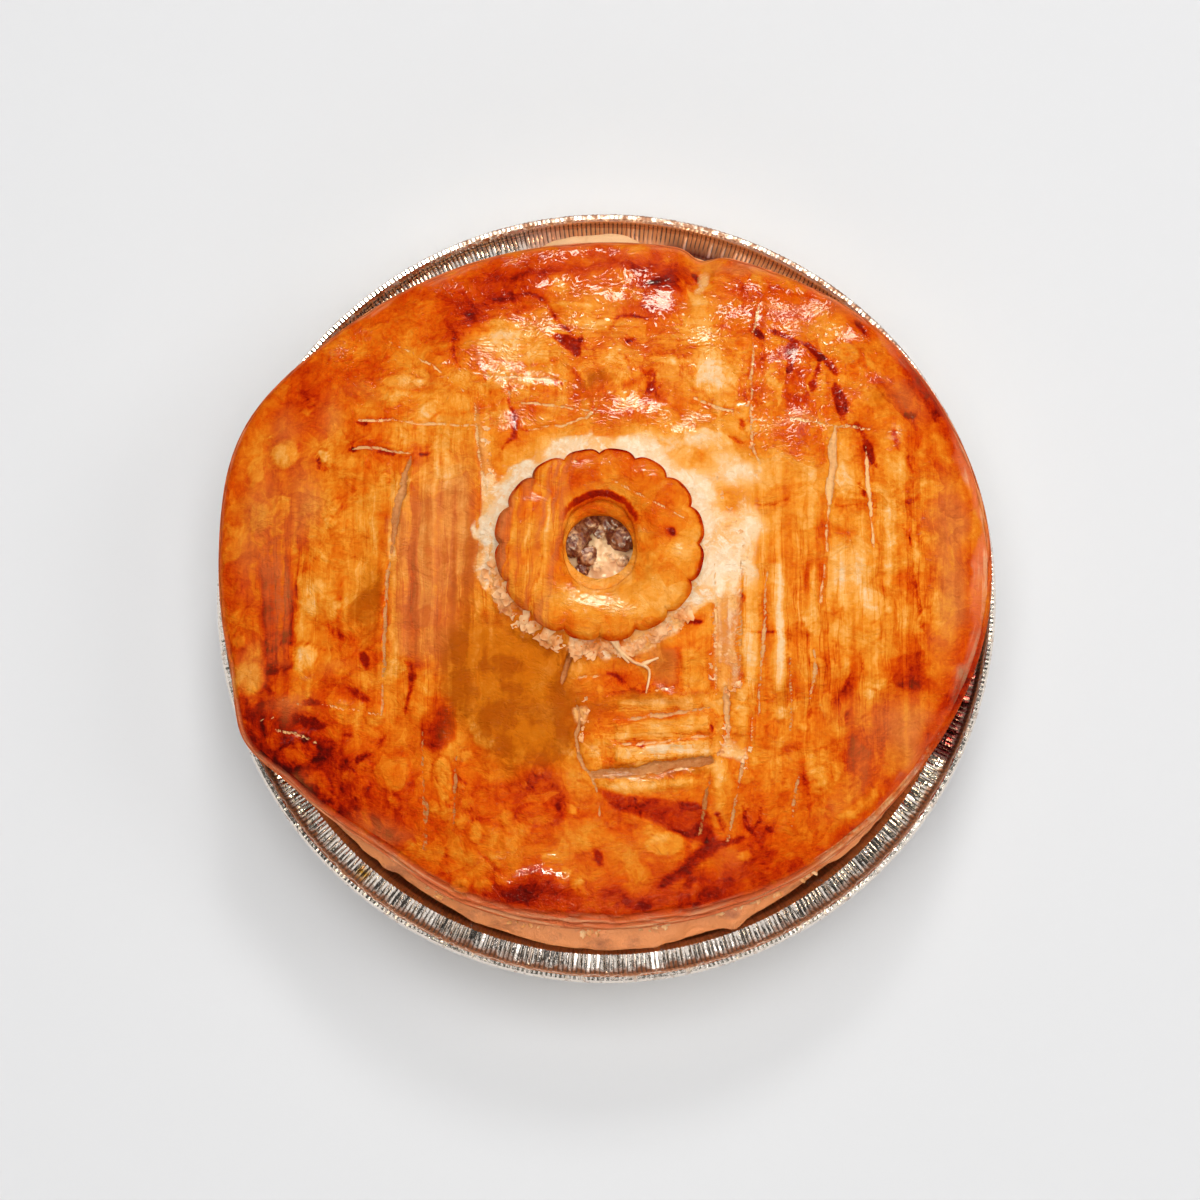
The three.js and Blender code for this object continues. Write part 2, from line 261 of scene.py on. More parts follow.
def foil_finish():
    """Bright foil, browned by baking on the riser and in flecks, with a dribble of egg and painted shade in
    the pleats' valleys, and painted near-black red for a reflection at the right and the shadow at the
    notch.
    """
    foil = Finish("foil")
    blotch = foil.noise(foil.here, 420, 4)
    stain = foil.ranged(foil.sum_of(blotch, foil.noted("browned")), 0.78, 1.02)
    colour = foil.blended(stain, SILVER, BAKED_STAIN)
    for overlay, tone in (("toasted", TOASTED_FOIL), ("egg", EGG_DRIP), ("dark_red_paint", PAINTED_DARK_RED)):
        colour = foil.blended(foil.noted(overlay), colour, tone)
    # Painted shade: the foil darkens towards FOLD_SHADOW in the valleys between the pleats
    shaded = foil.ranged(foil.sum_of(foil.noted("valley"), blotch, 0.5), 0.84, 1.14, 0.0, 0.90)
    dulled = reckon(foil.tree, "MAXIMUM", stain, foil.noted("toasted"))
    return foil.done({
        "Base Color": foil.blended(shaded, colour, FOLD_SHADOW),
        "Metallic": foil.ranged(dulled, 0.0, 1.0, 1.0, 0.2),
        "Roughness": foil.ranged(stain, 0.0, 1.0, 0.13, 0.5),
        "Normal": foil.bumps(foil.noise(foil.here, 1500, 2), 0.25, 0.0003)})


def pleated_tin(shapes, finish, sizes):
    """Geometry tree: pleats of several kinds set round a circle, closed by the two sides of the base."""
    tree, given, result = start_tree("pleated_tin", sizes)
    index = place(tree, "GeometryNodeInputIndex")
    step = reckon(tree, "DIVIDE", TURN, given.outputs["Pleats"])
    facing = place(tree, "ShaderNodeCombineXYZ", {"Z": reckon(tree, "MULTIPLY", index, step)})
    pick = place(tree, "FunctionNodeRandomValue",
                 {4: 0, 5: PLEAT_KINDS - 1, "ID": index, "Seed": given.outputs["Seed"]}, data_type="INT")
    kinds = place(tree, "GeometryNodeCollectionInfo",
                  {"Collection": shapes, "Separate Children": True, "Reset Children": True})
    points = place(tree, "GeometryNodePoints", {"Count": given.outputs["Pleats"]})
    set_round = place(tree, "GeometryNodeInstanceOnPoints", {
        "Points": points, "Instance": kinds, "Pick Instance": True,
        "Instance Index": pick.outputs[2], "Rotation": facing})
    wall = place(tree, "GeometryNodeRealizeInstances", {"Geometry": set_round})
    corners = reckon(tree, "MULTIPLY", given.outputs["Pleats"], 2.0)
    base = place(tree, "GeometryNodeMeshCircle",
                 {"Vertices": corners, "Radius": given.outputs["Flat base"]}, fill_type="NGON")
    lift = place(tree, "ShaderNodeCombineXYZ", {"Z": given.outputs["Foil"]})
    inside = place(tree, "GeometryNodeTransform", {"Geometry": base, "Translation": lift})
    outside = place(tree, "GeometryNodeFlipFaces", {"Mesh": base})
    joined = place(tree, "GeometryNodeJoinGeometry")
    for part in (wall, inside, outside):
        feed(tree, joined, {0: part})
    welded = place(tree, "GeometryNodeMergeByDistance", {"Geometry": joined, "Distance": 0.02 * MM})
    spot = place(tree, "GeometryNodeInputPosition")
    waves = place(tree, "ShaderNodeTexNoise", {"Vector": spot, "Scale": 160.0, "Detail": 2.0})
    swing = place(tree, "ShaderNodeVectorMath", {0: waves.outputs["Color"], 1: (0.5, 0.5, 0.5)},
                  operation="SUBTRACT")
    height = place(tree, "ShaderNodeSeparateXYZ", {0: spot}).outputs["Z"]
    free = place(tree, "ShaderNodeMapRange", {
        "Value": height, "From Min": 5 * MM, "From Max": SHELF * MM, "To Max": given.outputs["Crumple"]})
    push = place(tree, "ShaderNodeVectorMath", {0: swing, "Scale": free}, operation="SCALE")
    crumpled = place(tree, "GeometryNodeSetPosition", {"Geometry": welded, "Offset": push})
    return coat(tree, result, crumpled, finish)


def clear_shapes(shapes):
    """Drops the loose shapes that a tree has used up."""
    for shape in list(shapes.objects):
        bpy.data.objects.remove(shape)
    bpy.data.collections.remove(shapes)


pleat_shapes = bpy.data.collections.new("pleat_shapes")
folding = np.random.default_rng(11)
for kind in range(PLEAT_KINDS):
    shape = pleat(folding.uniform(0.5, 1.1), folding.uniform(-0.3, 0.3))
    pleat_shapes.objects.link(bpy.data.objects.new("pleat_%02d" % kind, shape))

tin_sizes = {
    "Pleats": PLEATS, "Flat base": TIN_FLAT * MM, "Foil": FOIL * MM, "Crumple": 2 * CRUMPLE * MM, "Seed": 5}
foil = foil_finish()
tin = new_piece("tin", bpy.data.meshes.new("tin"))
grow(tin, pleated_tin(pleat_shapes, foil, tin_sizes), tin_sizes)
clear_shapes(pleat_shapes)

spots = np.empty(3 * len(tin.data.vertices))
tin.data.vertices.foreach_get("co", spots)
tin_x, tin_y, tin_z = spots.reshape(-1, 3).T / MM
tin_angle = np.arctan2(tin_y, tin_x)
tin_radius = np.hypot(tin_x, tin_y)
on_rim = smoothstep(tin_z, SHELF - 1.5, SHELF)
on_riser = np.exp(-(((tin_radius - RISER_STAIN) / 0.6) ** 2)) * on_rim
on_bead = smoothstep(tin_radius, *BEAD_STAIN) * on_rim
back_turn = np.abs(np.degrees(tin_angle) - TOASTED_TOWARD)
behind = smoothstep(np.sin(tin_angle), 0.1, 0.6)
browned_bead = on_bead * (0.10 + 0.22 * smoothstep(back_turn, 50, 30))
note(tin.data, "browned", 0.66 * on_riser * (1 - 0.75 * behind) + browned_bead + 0.12)
note(tin.data, "toasted", on_rim * smoothstep(tin_radius, 108.4, 107.6) * smoothstep(back_turn, 36, 22))
note(tin.data, "egg", smoothstep(np.hypot(tin_x - EGG_SPOT[0], tin_y - EGG_SPOT[1]), 2.4, 1.2))
# Painted near-black red on the rim: a painted reflection of the lid's edge at the right, and a painted
# shadow in the gap under the lid at the notch
painted_reflection = smoothstep(tin_radius, 107.9, 106.9) * smoothstep(bell(tin_angle, -19.5, 8), 0.3, 0.5)
painted_notch_shadow = smoothstep(tin_radius, 105.2, 103.8) * smoothstep(bell(tin_angle, 75, 6), 0.3, 0.6)
note(tin.data, "dark_red_paint", on_rim * np.maximum(painted_reflection, painted_notch_shadow))
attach(tin, "root")
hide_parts("foil_tin")

# Base crust
# The lower pastry case, pressed into the tin and baked tan. Its rim stands clear of the tin at the
# front, below the lid that is sealed on it, and shows as a pale strip at the back.
GAP = 0.3
SEAM = 1.1
CRUST = 4.5
CRUST_FLOOR = 0.9
CRUST_GAP = 0.5
CRUST_SECTORS = 540
CRUST_FLAT = 77.8
CRUST_FLAT_INSIDE = 74.5
CRUST_DRAWN_IN = ((-130, 2.2, 22), (-50, 2.2, 22))
LIP_OVER_SHELF = 106.0
LIP_IN_MOUTH = 100.9
LIP_WIDTH = 6.0
LIP_ROUND = 1.2
VENT_X = -2.0
VENT_Y = 7.5
LID_THICKNESS = 5.0
EDGE_HEIGHT = 45.8
EDGE_LIFT = 3.5
APEX = 66.5
LID_RADIUS = 102.3
LID_OVAL = 6.4
LID_OFFSET = (2, -4.2)
NOTCH = (71.5, 2.6)
NOTCH_DEPTH = 2.4
RIM_SWELLS = ((41, 1.5, 14), (160, 4, 14), (-153, 4.5, 7), (-127, -2.5, 10), (-33, -2.4, 22))
FRONT_FLARE = 4.2
LID_EDGE_TUCK = 1.2
CRUST_TAN = (0.99, 0.325, 0.092, 1)
CRUST_PALE = (0.90, 0.50, 0.22, 1)
CRUST_BROWN = (0.45, 0.10, 0.025, 1)


def mottle(u, v, size, seed):
    """Smooth random hills between about -1 and 1, each as wide as the given size."""
    tile = 89
    heights = np.random.default_rng(seed).uniform(-1, 1, (tile, tile))
    u = u / size + 40.0
    v = v / size + 40.0
    i = np.floor(u).astype(int)
    j = np.floor(v).astype(int)
    s = smoothstep(u - i, 0, 1)
    t = smoothstep(v - j, 0, 1)
    low = heights[i % tile, j % tile] * (1 - s) + heights[(i + 1) % tile, j % tile] * s
    high = heights[i % tile, (j + 1) % tile] * (1 - s) + heights[(i + 1) % tile, (j + 1) % tile] * s
    return low * (1 - t) + high * t


def turned(name, x, y, z, capped):
    """A closed skin over columns of points round an axis, capped at its two ends or else joined there."""
    columns, rows = x.shape
    spots = np.stack([x, y, z], axis=-1).reshape(-1, 3) * MM
    column = np.arange(columns)[:, None]
    row = np.arange(rows - 1 if capped else rows)[None, :]
    here = column * rows
    beside = (column + 1) % columns * rows
    below = (row + 1) % rows
    quads = np.stack([here + row, here + below, beside + below, beside + row], axis=-1).reshape(-1, 4)
    faces = quads.tolist()
    if capped:
        faces.append((np.arange(columns) * rows).tolist())
        faces.append((np.arange(columns)[::-1] * rows + rows - 1).tolist())
    mesh = bpy.data.meshes.new(name)
    mesh.from_pydata(spots, [], faces)
    mesh.shade_smooth()
    return mesh


def follow(outline, counts):
    """More points along an outline of (radius, height) pairs, the given number on each stretch."""
    radii = []
    heights = []
    for (r0, z0), (r1, z1), count in zip(outline[:-1], outline[1:], counts):
        for share in np.arange(count) / count:
            radii.append(r0 + (r1 - r0) * share)
            heights.append(z0 + (z1 - z0) * share)
    radii.append(outline[-1][0])
    heights.append(outline[-1][1])
    return np.stack(radii, axis=-1), np.stack(heights, axis=-1)


def sectors(count):
    return np.arange(count) * TURN / count


def bells(angle, places):
    """The sum of bells, each with its direction, its height and its width."""
    return sum(by * bell(angle, toward, over) for toward, by, over in places)


def from_vent_axis(x, y):
    """Direction and distance of places from the vent's axis."""
    return np.arctan2(y - VENT_Y, x - VENT_X), np.hypot(x - VENT_X, y - VENT_Y)


def tin_inside(z):
    return TIN_BASE + (TIN_MOUTH - TIN_BASE) * z / SHELF


def lid_reach(angle):
    """Distance from the vent's axis to the edge of the lid."""
    oval = LID_RADIUS + LID_OVAL * np.cos(2 * angle)
    shifted = oval + LID_OFFSET[0] * np.cos(angle) + LID_OFFSET[1] * np.sin(angle)
    return shifted + bells(angle, RIM_SWELLS) - NOTCH_DEPTH * bell(angle, *NOTCH)


def dome(x, y):
    """Height of the lid's smooth dome."""
    angle, away = from_vent_axis(x, y)
    share = np.minimum(1, away / lid_reach(angle))
    edge = EDGE_HEIGHT + EDGE_LIFT * np.sin(angle) ** 2
    return edge + (APEX - edge) * (1 - share ** 2.3) ** 0.85


def crust_top(angle, r):
    return dome(r * np.cos(angle), r * np.sin(angle)) - LID_THICKNESS - SEAM


def crust_outside(z, shrink):
    return tin_inside(z) - CRUST_GAP - shrink * z / SHELF


def front_flare(angle):
    """How far the lid's lower edge is pushed out at the front."""
    return FRONT_FLARE * bell(angle, -95, 48)


def lid_edge_from_axis(angle):
    """Distance from the tin's axis to the lower edge of the lid, in a few steps from a first guess."""
    r = np.full_like(angle, 102.0)
    for _ in range(6):
        toward, away = from_vent_axis(r * np.cos(angle), r * np.sin(angle))
        r = r * lid_reach(toward) / away
    return r + front_flare(angle) - LID_EDGE_TUCK


def crust_case():
    """The crust from its middle out under the base, up the wall, over the rim and back down inside."""
    angle = sectors(CRUST_SECTORS)
    shrink = bells(angle, CRUST_DRAWN_IN)
    held_in = (1 - bell(angle, -30, 22)) * (1 - bell(angle, -150, 22))
    spread = smoothstep(np.abs(np.cos(angle)), 0.55, 0.85) * held_in
    lip = (LIP_IN_MOUTH - shrink) * (1 - spread) + LIP_OVER_SHELF * spread
    lip += 3.9 * bell(angle, 91, 11) - 3.0 * bell(angle, 74.5, 4)
    seal = np.minimum(lip - LIP_ROUND, lid_edge_from_axis(angle) - GAP)
    mouth = crust_outside(SHELF, shrink)
    foot = SHELF + 3 * GAP
    wall = 1.1 * CRUST
    flat = np.ones_like(angle)
    outline = [
        (0.5 * flat, CRUST_FLOOR * flat),
        (CRUST_FLAT * flat, CRUST_FLOOR * flat),
        (crust_outside(5.0, shrink), 5.0 * flat),
        (crust_outside(SHELF - LIP_ROUND, shrink), (SHELF - LIP_ROUND) * flat),
        (mouth, foot * flat),
        (np.maximum(lip - LIP_ROUND, mouth), foot * flat),
        (lip, (foot + LIP_ROUND) * flat),
        (seal, crust_top(angle, seal)),
        (seal - LIP_WIDTH, crust_top(angle, seal - LIP_WIDTH)),
        (crust_outside(12.0, shrink) - wall, 12.0 * flat),
        (CRUST_FLAT_INSIDE * flat, (CRUST_FLOOR + CRUST) * flat),
        (0.5 * flat, (CRUST_FLOOR + CRUST) * flat),
    ]
    radius, height = follow(outline, (2, 2, 4, 2, 2, 5, 14, 6, 4, 2, 2))
    for _ in range(3):
        radius[:, 1:-1] = (radius[:, :-2] + 2 * radius[:, 1:-1] + radius[:, 2:]) / 4
        height[:, 1:-1] = (height[:, :-2] + 2 * height[:, 1:-1] + height[:, 2:]) / 4
    turn = angle[:, None] * np.ones_like(radius)
    around = turn * 98
    shows = smoothstep(height, SHELF - 0.5, SHELF + 2)
    shows = shows * smoothstep(radius, seal[:, None] - 3, seal[:, None])
    lumps = 0.8 * mottle(around, height, 6.0, 21) + 0.4 * mottle(around, height, 2.4, 22)
    fold = 2.2 * bell(turn, -69.5, 2.4) - 1.8 * bell(turn, -75.5, 2.6) - 0.8 * bell(turn, -104, 3)
    radius = radius + shows * (lumps + fold - 0.35)
    mesh = turned("crust", radius * np.cos(turn), radius * np.sin(turn), height, True)
    seam = crust_top(turn, seal[:, None])
    slit = mottle(around, height, 7.0, 23) * smoothstep(height, seam - 3, seam)
    spotted = 0.2 * mottle(around, height, 14.0, 24) + 0.12 * mottle(around, height, 4.0, 25)
    note(mesh, "toasted", shows * (0.45 * slit + spotted - 0.06))
    note(mesh, "pale", shows * smoothstep(np.sin(turn), 0.5, 0.9))
    return mesh


def crust_finish():
    """Dry baked pastry: tan with browned patches, paler towards the back, and finely rough."""
    crust = Finish("crust")
    spots = crust.noise(crust.here, 210, 6, 0.7)
    browned = crust.ranged(crust.sum_of(spots, crust.noted("toasted")), 0.52, 0.90)
    colour = crust.blended(browned, CRUST_TAN, CRUST_BROWN)
    wrinkles = crust.streaks(crust.here, (300, 300, 80), 3, 0.5)
    surface = crust.sum_of(crust.noise(crust.here, 1100, 4, 0.7), wrinkles, 1.6)
    return crust.done({
        "Base Color": crust.blended(crust.noted("pale"), colour, CRUST_PALE),
        "Normal": crust.bumps(surface, 0.6, 0.0009),
        "Roughness": 0.55})


crust = new_piece("crust", crust_case())
crust.data.materials.append(crust_finish())
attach(crust, "root")
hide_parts("base_crust")

# Filling
# Minced duck set in its own pale fat, cooked soft and filling the whole case. It shows only at the
# bottom of the vent, as rounded brown lumps with cream-coloured fat between them.
FILLING_SECTORS = 144
FILLING_FLOOR = 5.7
FILLING_RADII = (91.0, 82.5, 73.0)
FILLING_FOOT = 13.3
FAT_CREAM = (0.92, 0.62, 0.32, 1)
MEAT_BROWN = (0.40, 0.15, 0.05, 1)
MEAT_DARK = (0.12, 0.018, 0.006, 1)
MINCE = (
    (-5.2, 15.8, 4, 0.06), (1.6, 16.2, 3.9, 0.08), (-9.2, 10.4, 4.4, 0.16), (-5.6, 5.8, 3, 0.14),
    (4.2, 10.6, 4, 0.08), (-1.8, 13.2, 2.4, 0.30), (-6.8, 1.9, 1.8, 0.05), (4.6, 14.6, 2.2, 0.30),
    (-10, 15, 2.4, 0.3), (1.4, 5.6, 1.8, 0.55), (-2.6, 3, 1.6, 0.6), (4.4, 4.6, 1.8, 0.5),
)


def around_vent(angle, away):
    """Places in a direction and at a distance from the vent's axis."""
    return VENT_X + away * np.cos(angle), VENT_Y + away * np.sin(angle)


def from_vent(angle, radius):
    """Distance from the vent's axis, in a direction, to a circle round the tin's axis."""
    ahead = VENT_X * np.cos(angle) + VENT_Y * np.sin(angle)
    return -ahead + np.sqrt(radius ** 2 - VENT_X ** 2 - VENT_Y ** 2 + ahead ** 2)


def filling_body():
    """The filling from the middle of its top out to the case, and back under along the floor."""
    angle = sectors(FILLING_SECTORS)
    flat = np.ones_like(angle)
    stops = np.concatenate([np.linspace(0.2, 12, 30), np.linspace(20, 78, 7)])
    radii = [stop * flat for stop in stops]
    radii += [from_vent(angle, radius) for radius in FILLING_RADII] + [0.2 * flat]
    radius = np.stack(radii, axis=-1)
    x, y = around_vent(angle[:, None], radius)
    height = dome(x, y) - LID_THICKNESS - SEAM
    height[:, -4] -= SEAM
    height[:, -3] = FILLING_FOOT
    height[:, -2:] = FILLING_FLOOR
    cream = np.exp(-(((x + 0.5) / 5.5) ** 2 + ((y - 6.5) / 5.5) ** 2))
    lumps = 0.8 * mottle(x, y, 2.6, 31) + 0.4 * mottle(x, y, 1.1, 32) - 0.5 + 2.2 * cream
    height += smoothstep(radius, 14, 10) * (height > 50) * lumps
    mesh = turned("filling", x, y, height, True)
    note(mesh, "fat", 0.8 * np.ones_like(x))
    return mesh


def mince_lumps():
    """Rounded lumps of mince, each uneven, some coated with fat."""
    ball = bpy.data.meshes.new("ball")
    shape = bmesh.new()
    bmesh.ops.create_icosphere(shape, subdivisions=4, radius=1.0)
    shape.to_mesh(ball)
    shape.free()
    base = np.empty(3 * len(ball.vertices))
    ball.vertices.foreach_get("co", base)
    base = base.reshape(-1, 3)
    corners = np.empty(3 * len(ball.polygons), int)
    ball.polygons.foreach_get("vertices", corners)
    corners = corners.reshape(-1, 3)
    spots = []
    faces = []
    fat = []
    for index, (x, y, size, coated) in enumerate(MINCE):
        bulge = 1 + 0.24 * mottle(base[:, 0] + 2 * base[:, 2], base[:, 1] - base[:, 2], 0.6, 40 + index)
        bulge += 0.12 * mottle(base[:, 0] - base[:, 2], base[:, 1] + 2 * base[:, 0], 0.25, 60 + index)
        lump = base * (size * bulge)[:, None] * np.array([1.0, 0.95, 0.8])
        floor = dome(np.array(x), np.array(y)) - LID_THICKNESS - SEAM
        lump += np.array([x, y, floor + 0.25 * size])
        faces.append(corners + sum(len(part) for part in spots))
        spots.append(lump)
        fat.append(coated + 0.25 * mottle(base[:, 0], base[:, 1], 0.5, 80 + index))
    mesh = bpy.data.meshes.new("mince")
    mesh.from_pydata(np.vstack(spots) * MM, [], np.vstack(faces).tolist())
    mesh.shade_smooth()
    note(mesh, "fat", np.concatenate(fat))
    bpy.data.meshes.remove(ball)
    return mesh


def filling_finish():
    """Moist mince: brown meat with a dark glaze, and soft cream fat where the piece is coated."""
    filling = Finish("filling")
    grain = filling.noise(filling.here, 700, 4, 0.6)
    colour = filling.blended(filling.ranged(grain, 0.4, 0.65), MEAT_DARK, MEAT_BROWN)
    coated = filling.ranged(filling.sum_of(grain, filling.noted("fat")), 0.72, 1.1)
    return filling.done({
        "Base Color": filling.blended(coated, colour, FAT_CREAM),
        "Normal": filling.bumps(grain, 0.5, 0.0008),
        "Roughness": 0.28})


moist_mince = filling_finish()
filling = new_piece("mince_bed", filling_body())
filling.data.materials.append(moist_mince)
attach(filling, "root")
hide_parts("filling")
mince = new_piece("mince", mince_lumps())
mince.data.materials.append(moist_mince)
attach(mince, "root")

# Lid
# A domed sheet of puff pastry, laid over the filling, sealed on the crust's rim and brushed with egg.
# The baker scored it with a knife before baking, so the cuts have opened and the wash has run and browned.
LID_SECTORS = 620
LID_ROWS = 128
EDGE_ROWS = 18
VENT_RADIUS = 9.2
RING_HALF = (28.7, 26.6)
COLLAR = 2.5
NOTCH_CREASE = 2.2
LID_EDGE_HEIGHTS = (0.0, 0.35, 0.7, 1.0)
LID_EDGE_INSETS = (1.2, 0.0, 0.3, 1.8)
LAYERS = 3.6
UNDER_RING = 20.0
DARK_RIMS = ((-30, 1.1, 24), (-142, 1.0, 26), (27, 1.3, 11), (-92, 0.5, 24))
THIN_CUT = 2.0
THIN_CUT_CLOSES = 0.62

# Knife cuts: the points each runs through, its width, its depth, and its tone from brown, partly painted
# shade, to cream
CUTS = (
    (((-54.3, 33.8), (-55.8, 26), (-57.6, 17), (-59.2, 7)), 2.2, 1.2, 0.35),
    (((-59.4, 6), (-60.6, -8), (-61, -24), (-61.4, -38)), 1.2, 0.8, 0.45),
    (((-36.8, 49), (-36, 40), (-34.6, 31), (-32.6, 21)), 0.9, 0.5, 0.9),
    (((-69.5, 45), (-60, 44.4), (-50, 43.3), (-36.5, 42.3)), 1.1, 0.7, 0.95),
    (((-70.5, 36.3), (-62, 36), (-54.5, 34.6)), 1.3, 0.7, 0.75),
    (((-62.7, 69.8), (-50, 61), (-36.5, 50)), 0.55, 0.25, 1),
    (((-79, -34.4), (-70, -36.2), (-62, -37.6)), 0.9, 0.7, 0.95),
    (((-92, -32.4), (-84, -34.4)), 0.8, 0.5, 0.6),
    (((-91.5, -41.3), (-85, -42.7), (-79.5, -44.6)), 0.9, 0.6, 0.9),
    (((-96, -38.5), (-92, -37.8)), 0.9, 0.5, 0.9),
    (((-40.8, -49), (-41.2, -58), (-41.6, -69)), 1.3, 0.8, 0.2),
    (((-49, -61), (-49.6, -74)), 0.8, 0.4, 0.3),
    (((-9.6, -20.5), (-10.8, -25), (-12.8, -30.5)), 1.9, 1.2, 0.2),
    (((-9.2, -33), (-7.2, -38.5), (-8, -45), (-7.6, -49), (-4.6, -54), (-2.6, -59),
      (-2, -65)), 1.7, 1, 0.4),
    (((-10, -28.7), (-1, -27.7)), 0.8, 0.5, 0.8),
    (((2, -39.6), (16, -38.2), (28.4, -36.2)), 1.2, 0.9, 0.6),
    (((2, -46), (12, -46), (28.2, -43.6)), 1.1, 0.9, 0.95),
    (((-3.6, -54.4), (8, -53.4), (28, -50.3)), 2.7, 1.3, 0.26),
    (((-4, -55.6), (8, -55), (22, -52.6)), 0.9, 0.3, 1),
    (((13.5, -31.6), (18.5, -31.2)), 0.7, 0.5, 1),
    (((29.6, 3), (29.8, -14), (29.6, -33)), 0.9, 0.4, 0.95),
    (((34.8, 2), (35.4, -14), (35, -32)), 0.7, 0.3, 0.5),
    (((32.5, -31), (32.4, -38), (33, -43)), 2, 0.9, 0.7),
    (((27.8, -56), (26.6, -62), (25.4, -70.5)), 1.5, 0.9, 0.15),
    (((37.6, -47), (35.6, -57), (34, -66), (33, -73)), 1.3, 0.8, 0.4),
    (((39.6, -38), (39, -46)), 1, 0.6, 0.9),
    (((43.6, 4), (43, -15), (42, -25), (41.2, -38)), 0.9, 0.6, 0.55),
    (((36.8, 6), (36.6, -8), (36.3, -30)), 0.8, 0.5, 0.5),
    (((56.6, -20), (56.6, -27), (55.8, -33.5)), 1.7, 1, 0.7),
    (((50.4, -21), (50, -42)), 0.7, 0.4, 0.4),
    (((52.6, -54), (51.4, -61), (50.6, -68)), 1, 0.6, 0.45),
    (((43.2, 79.5), (41.4, 70), (40.4, 59), (39.4, 46), (40.2, 36), (42.2, 30.5)), 0.9, 0.7, 0.7),
    (((63.2, 42), (62.4, 32), (61.2, 20.5)), 2.5, 0.8, 0.85),
    (((61, 20), (60.4, 8), (58.6, -7)), 1.3, 0.7, 0.8),
    (((71.8, 38), (72.5, 26), (73.4, 12), (73.6, 4)), 1.5, 0.6, 1),
    (((24, 50), (31, 47), (38.5, 45)), 1, 0.6, 0.9),
    (((40, 45), (52, 44.6), (64, 43.3), (82, 42)), 0.8, 0.5, 0.9),
    (((-37, 57.5), (-28, 56.2), (-20, 55.7), (-11, 55)), 0.9, 0.5, 0.9),
    (((-28.3, 58), (-26.8, 48)), 0.8, 0.4, 0.8),
    (((-26, 48.6), (-14, 47.4), (-5, 46)), 0.7, 0.4, 0.8),
    (((-50.2, -42), (-50, -58), (-50.2, -74)), 0.6, 0.3, 0.3),
    (((-22, 40.3), (-12, 41.6), (-6, 44), (-2, 47.8)), 0.8, 0.5, 0.95),
)

# Bars of dough between the cuts that stand up: the points each runs through, its half width and its height
BARS = (
    (((2, -42.8), (28.4, -40.2)), 2.7, 0.9), (((2, -49.4), (28.4, -47)), 2.7, 0.9),
    (((3, -35.6), (27.4, -33.4)), 2, 0.6), (((-1, -58), (24, -55.8)), 1.8, 0.6),
    (((39, 5), (39, -29)), 2.4, 0.6), (((47.4, 4), (47.2, -32)), 2.6, 0.5),
    (((37, -31), (36.6, -44)), 2.2, 0.6), (((31, -52), (30.4, -66)), 1.8, 0.5),
    (((-48.6, 26), (-50, -22)), 2.6, 0.4), (((22, -20), (23.6, -30)), 3, 0.4),
    (((-56.6, 28), (-56.4, 4), (-57, -22)), 1.8, 0.4),
)

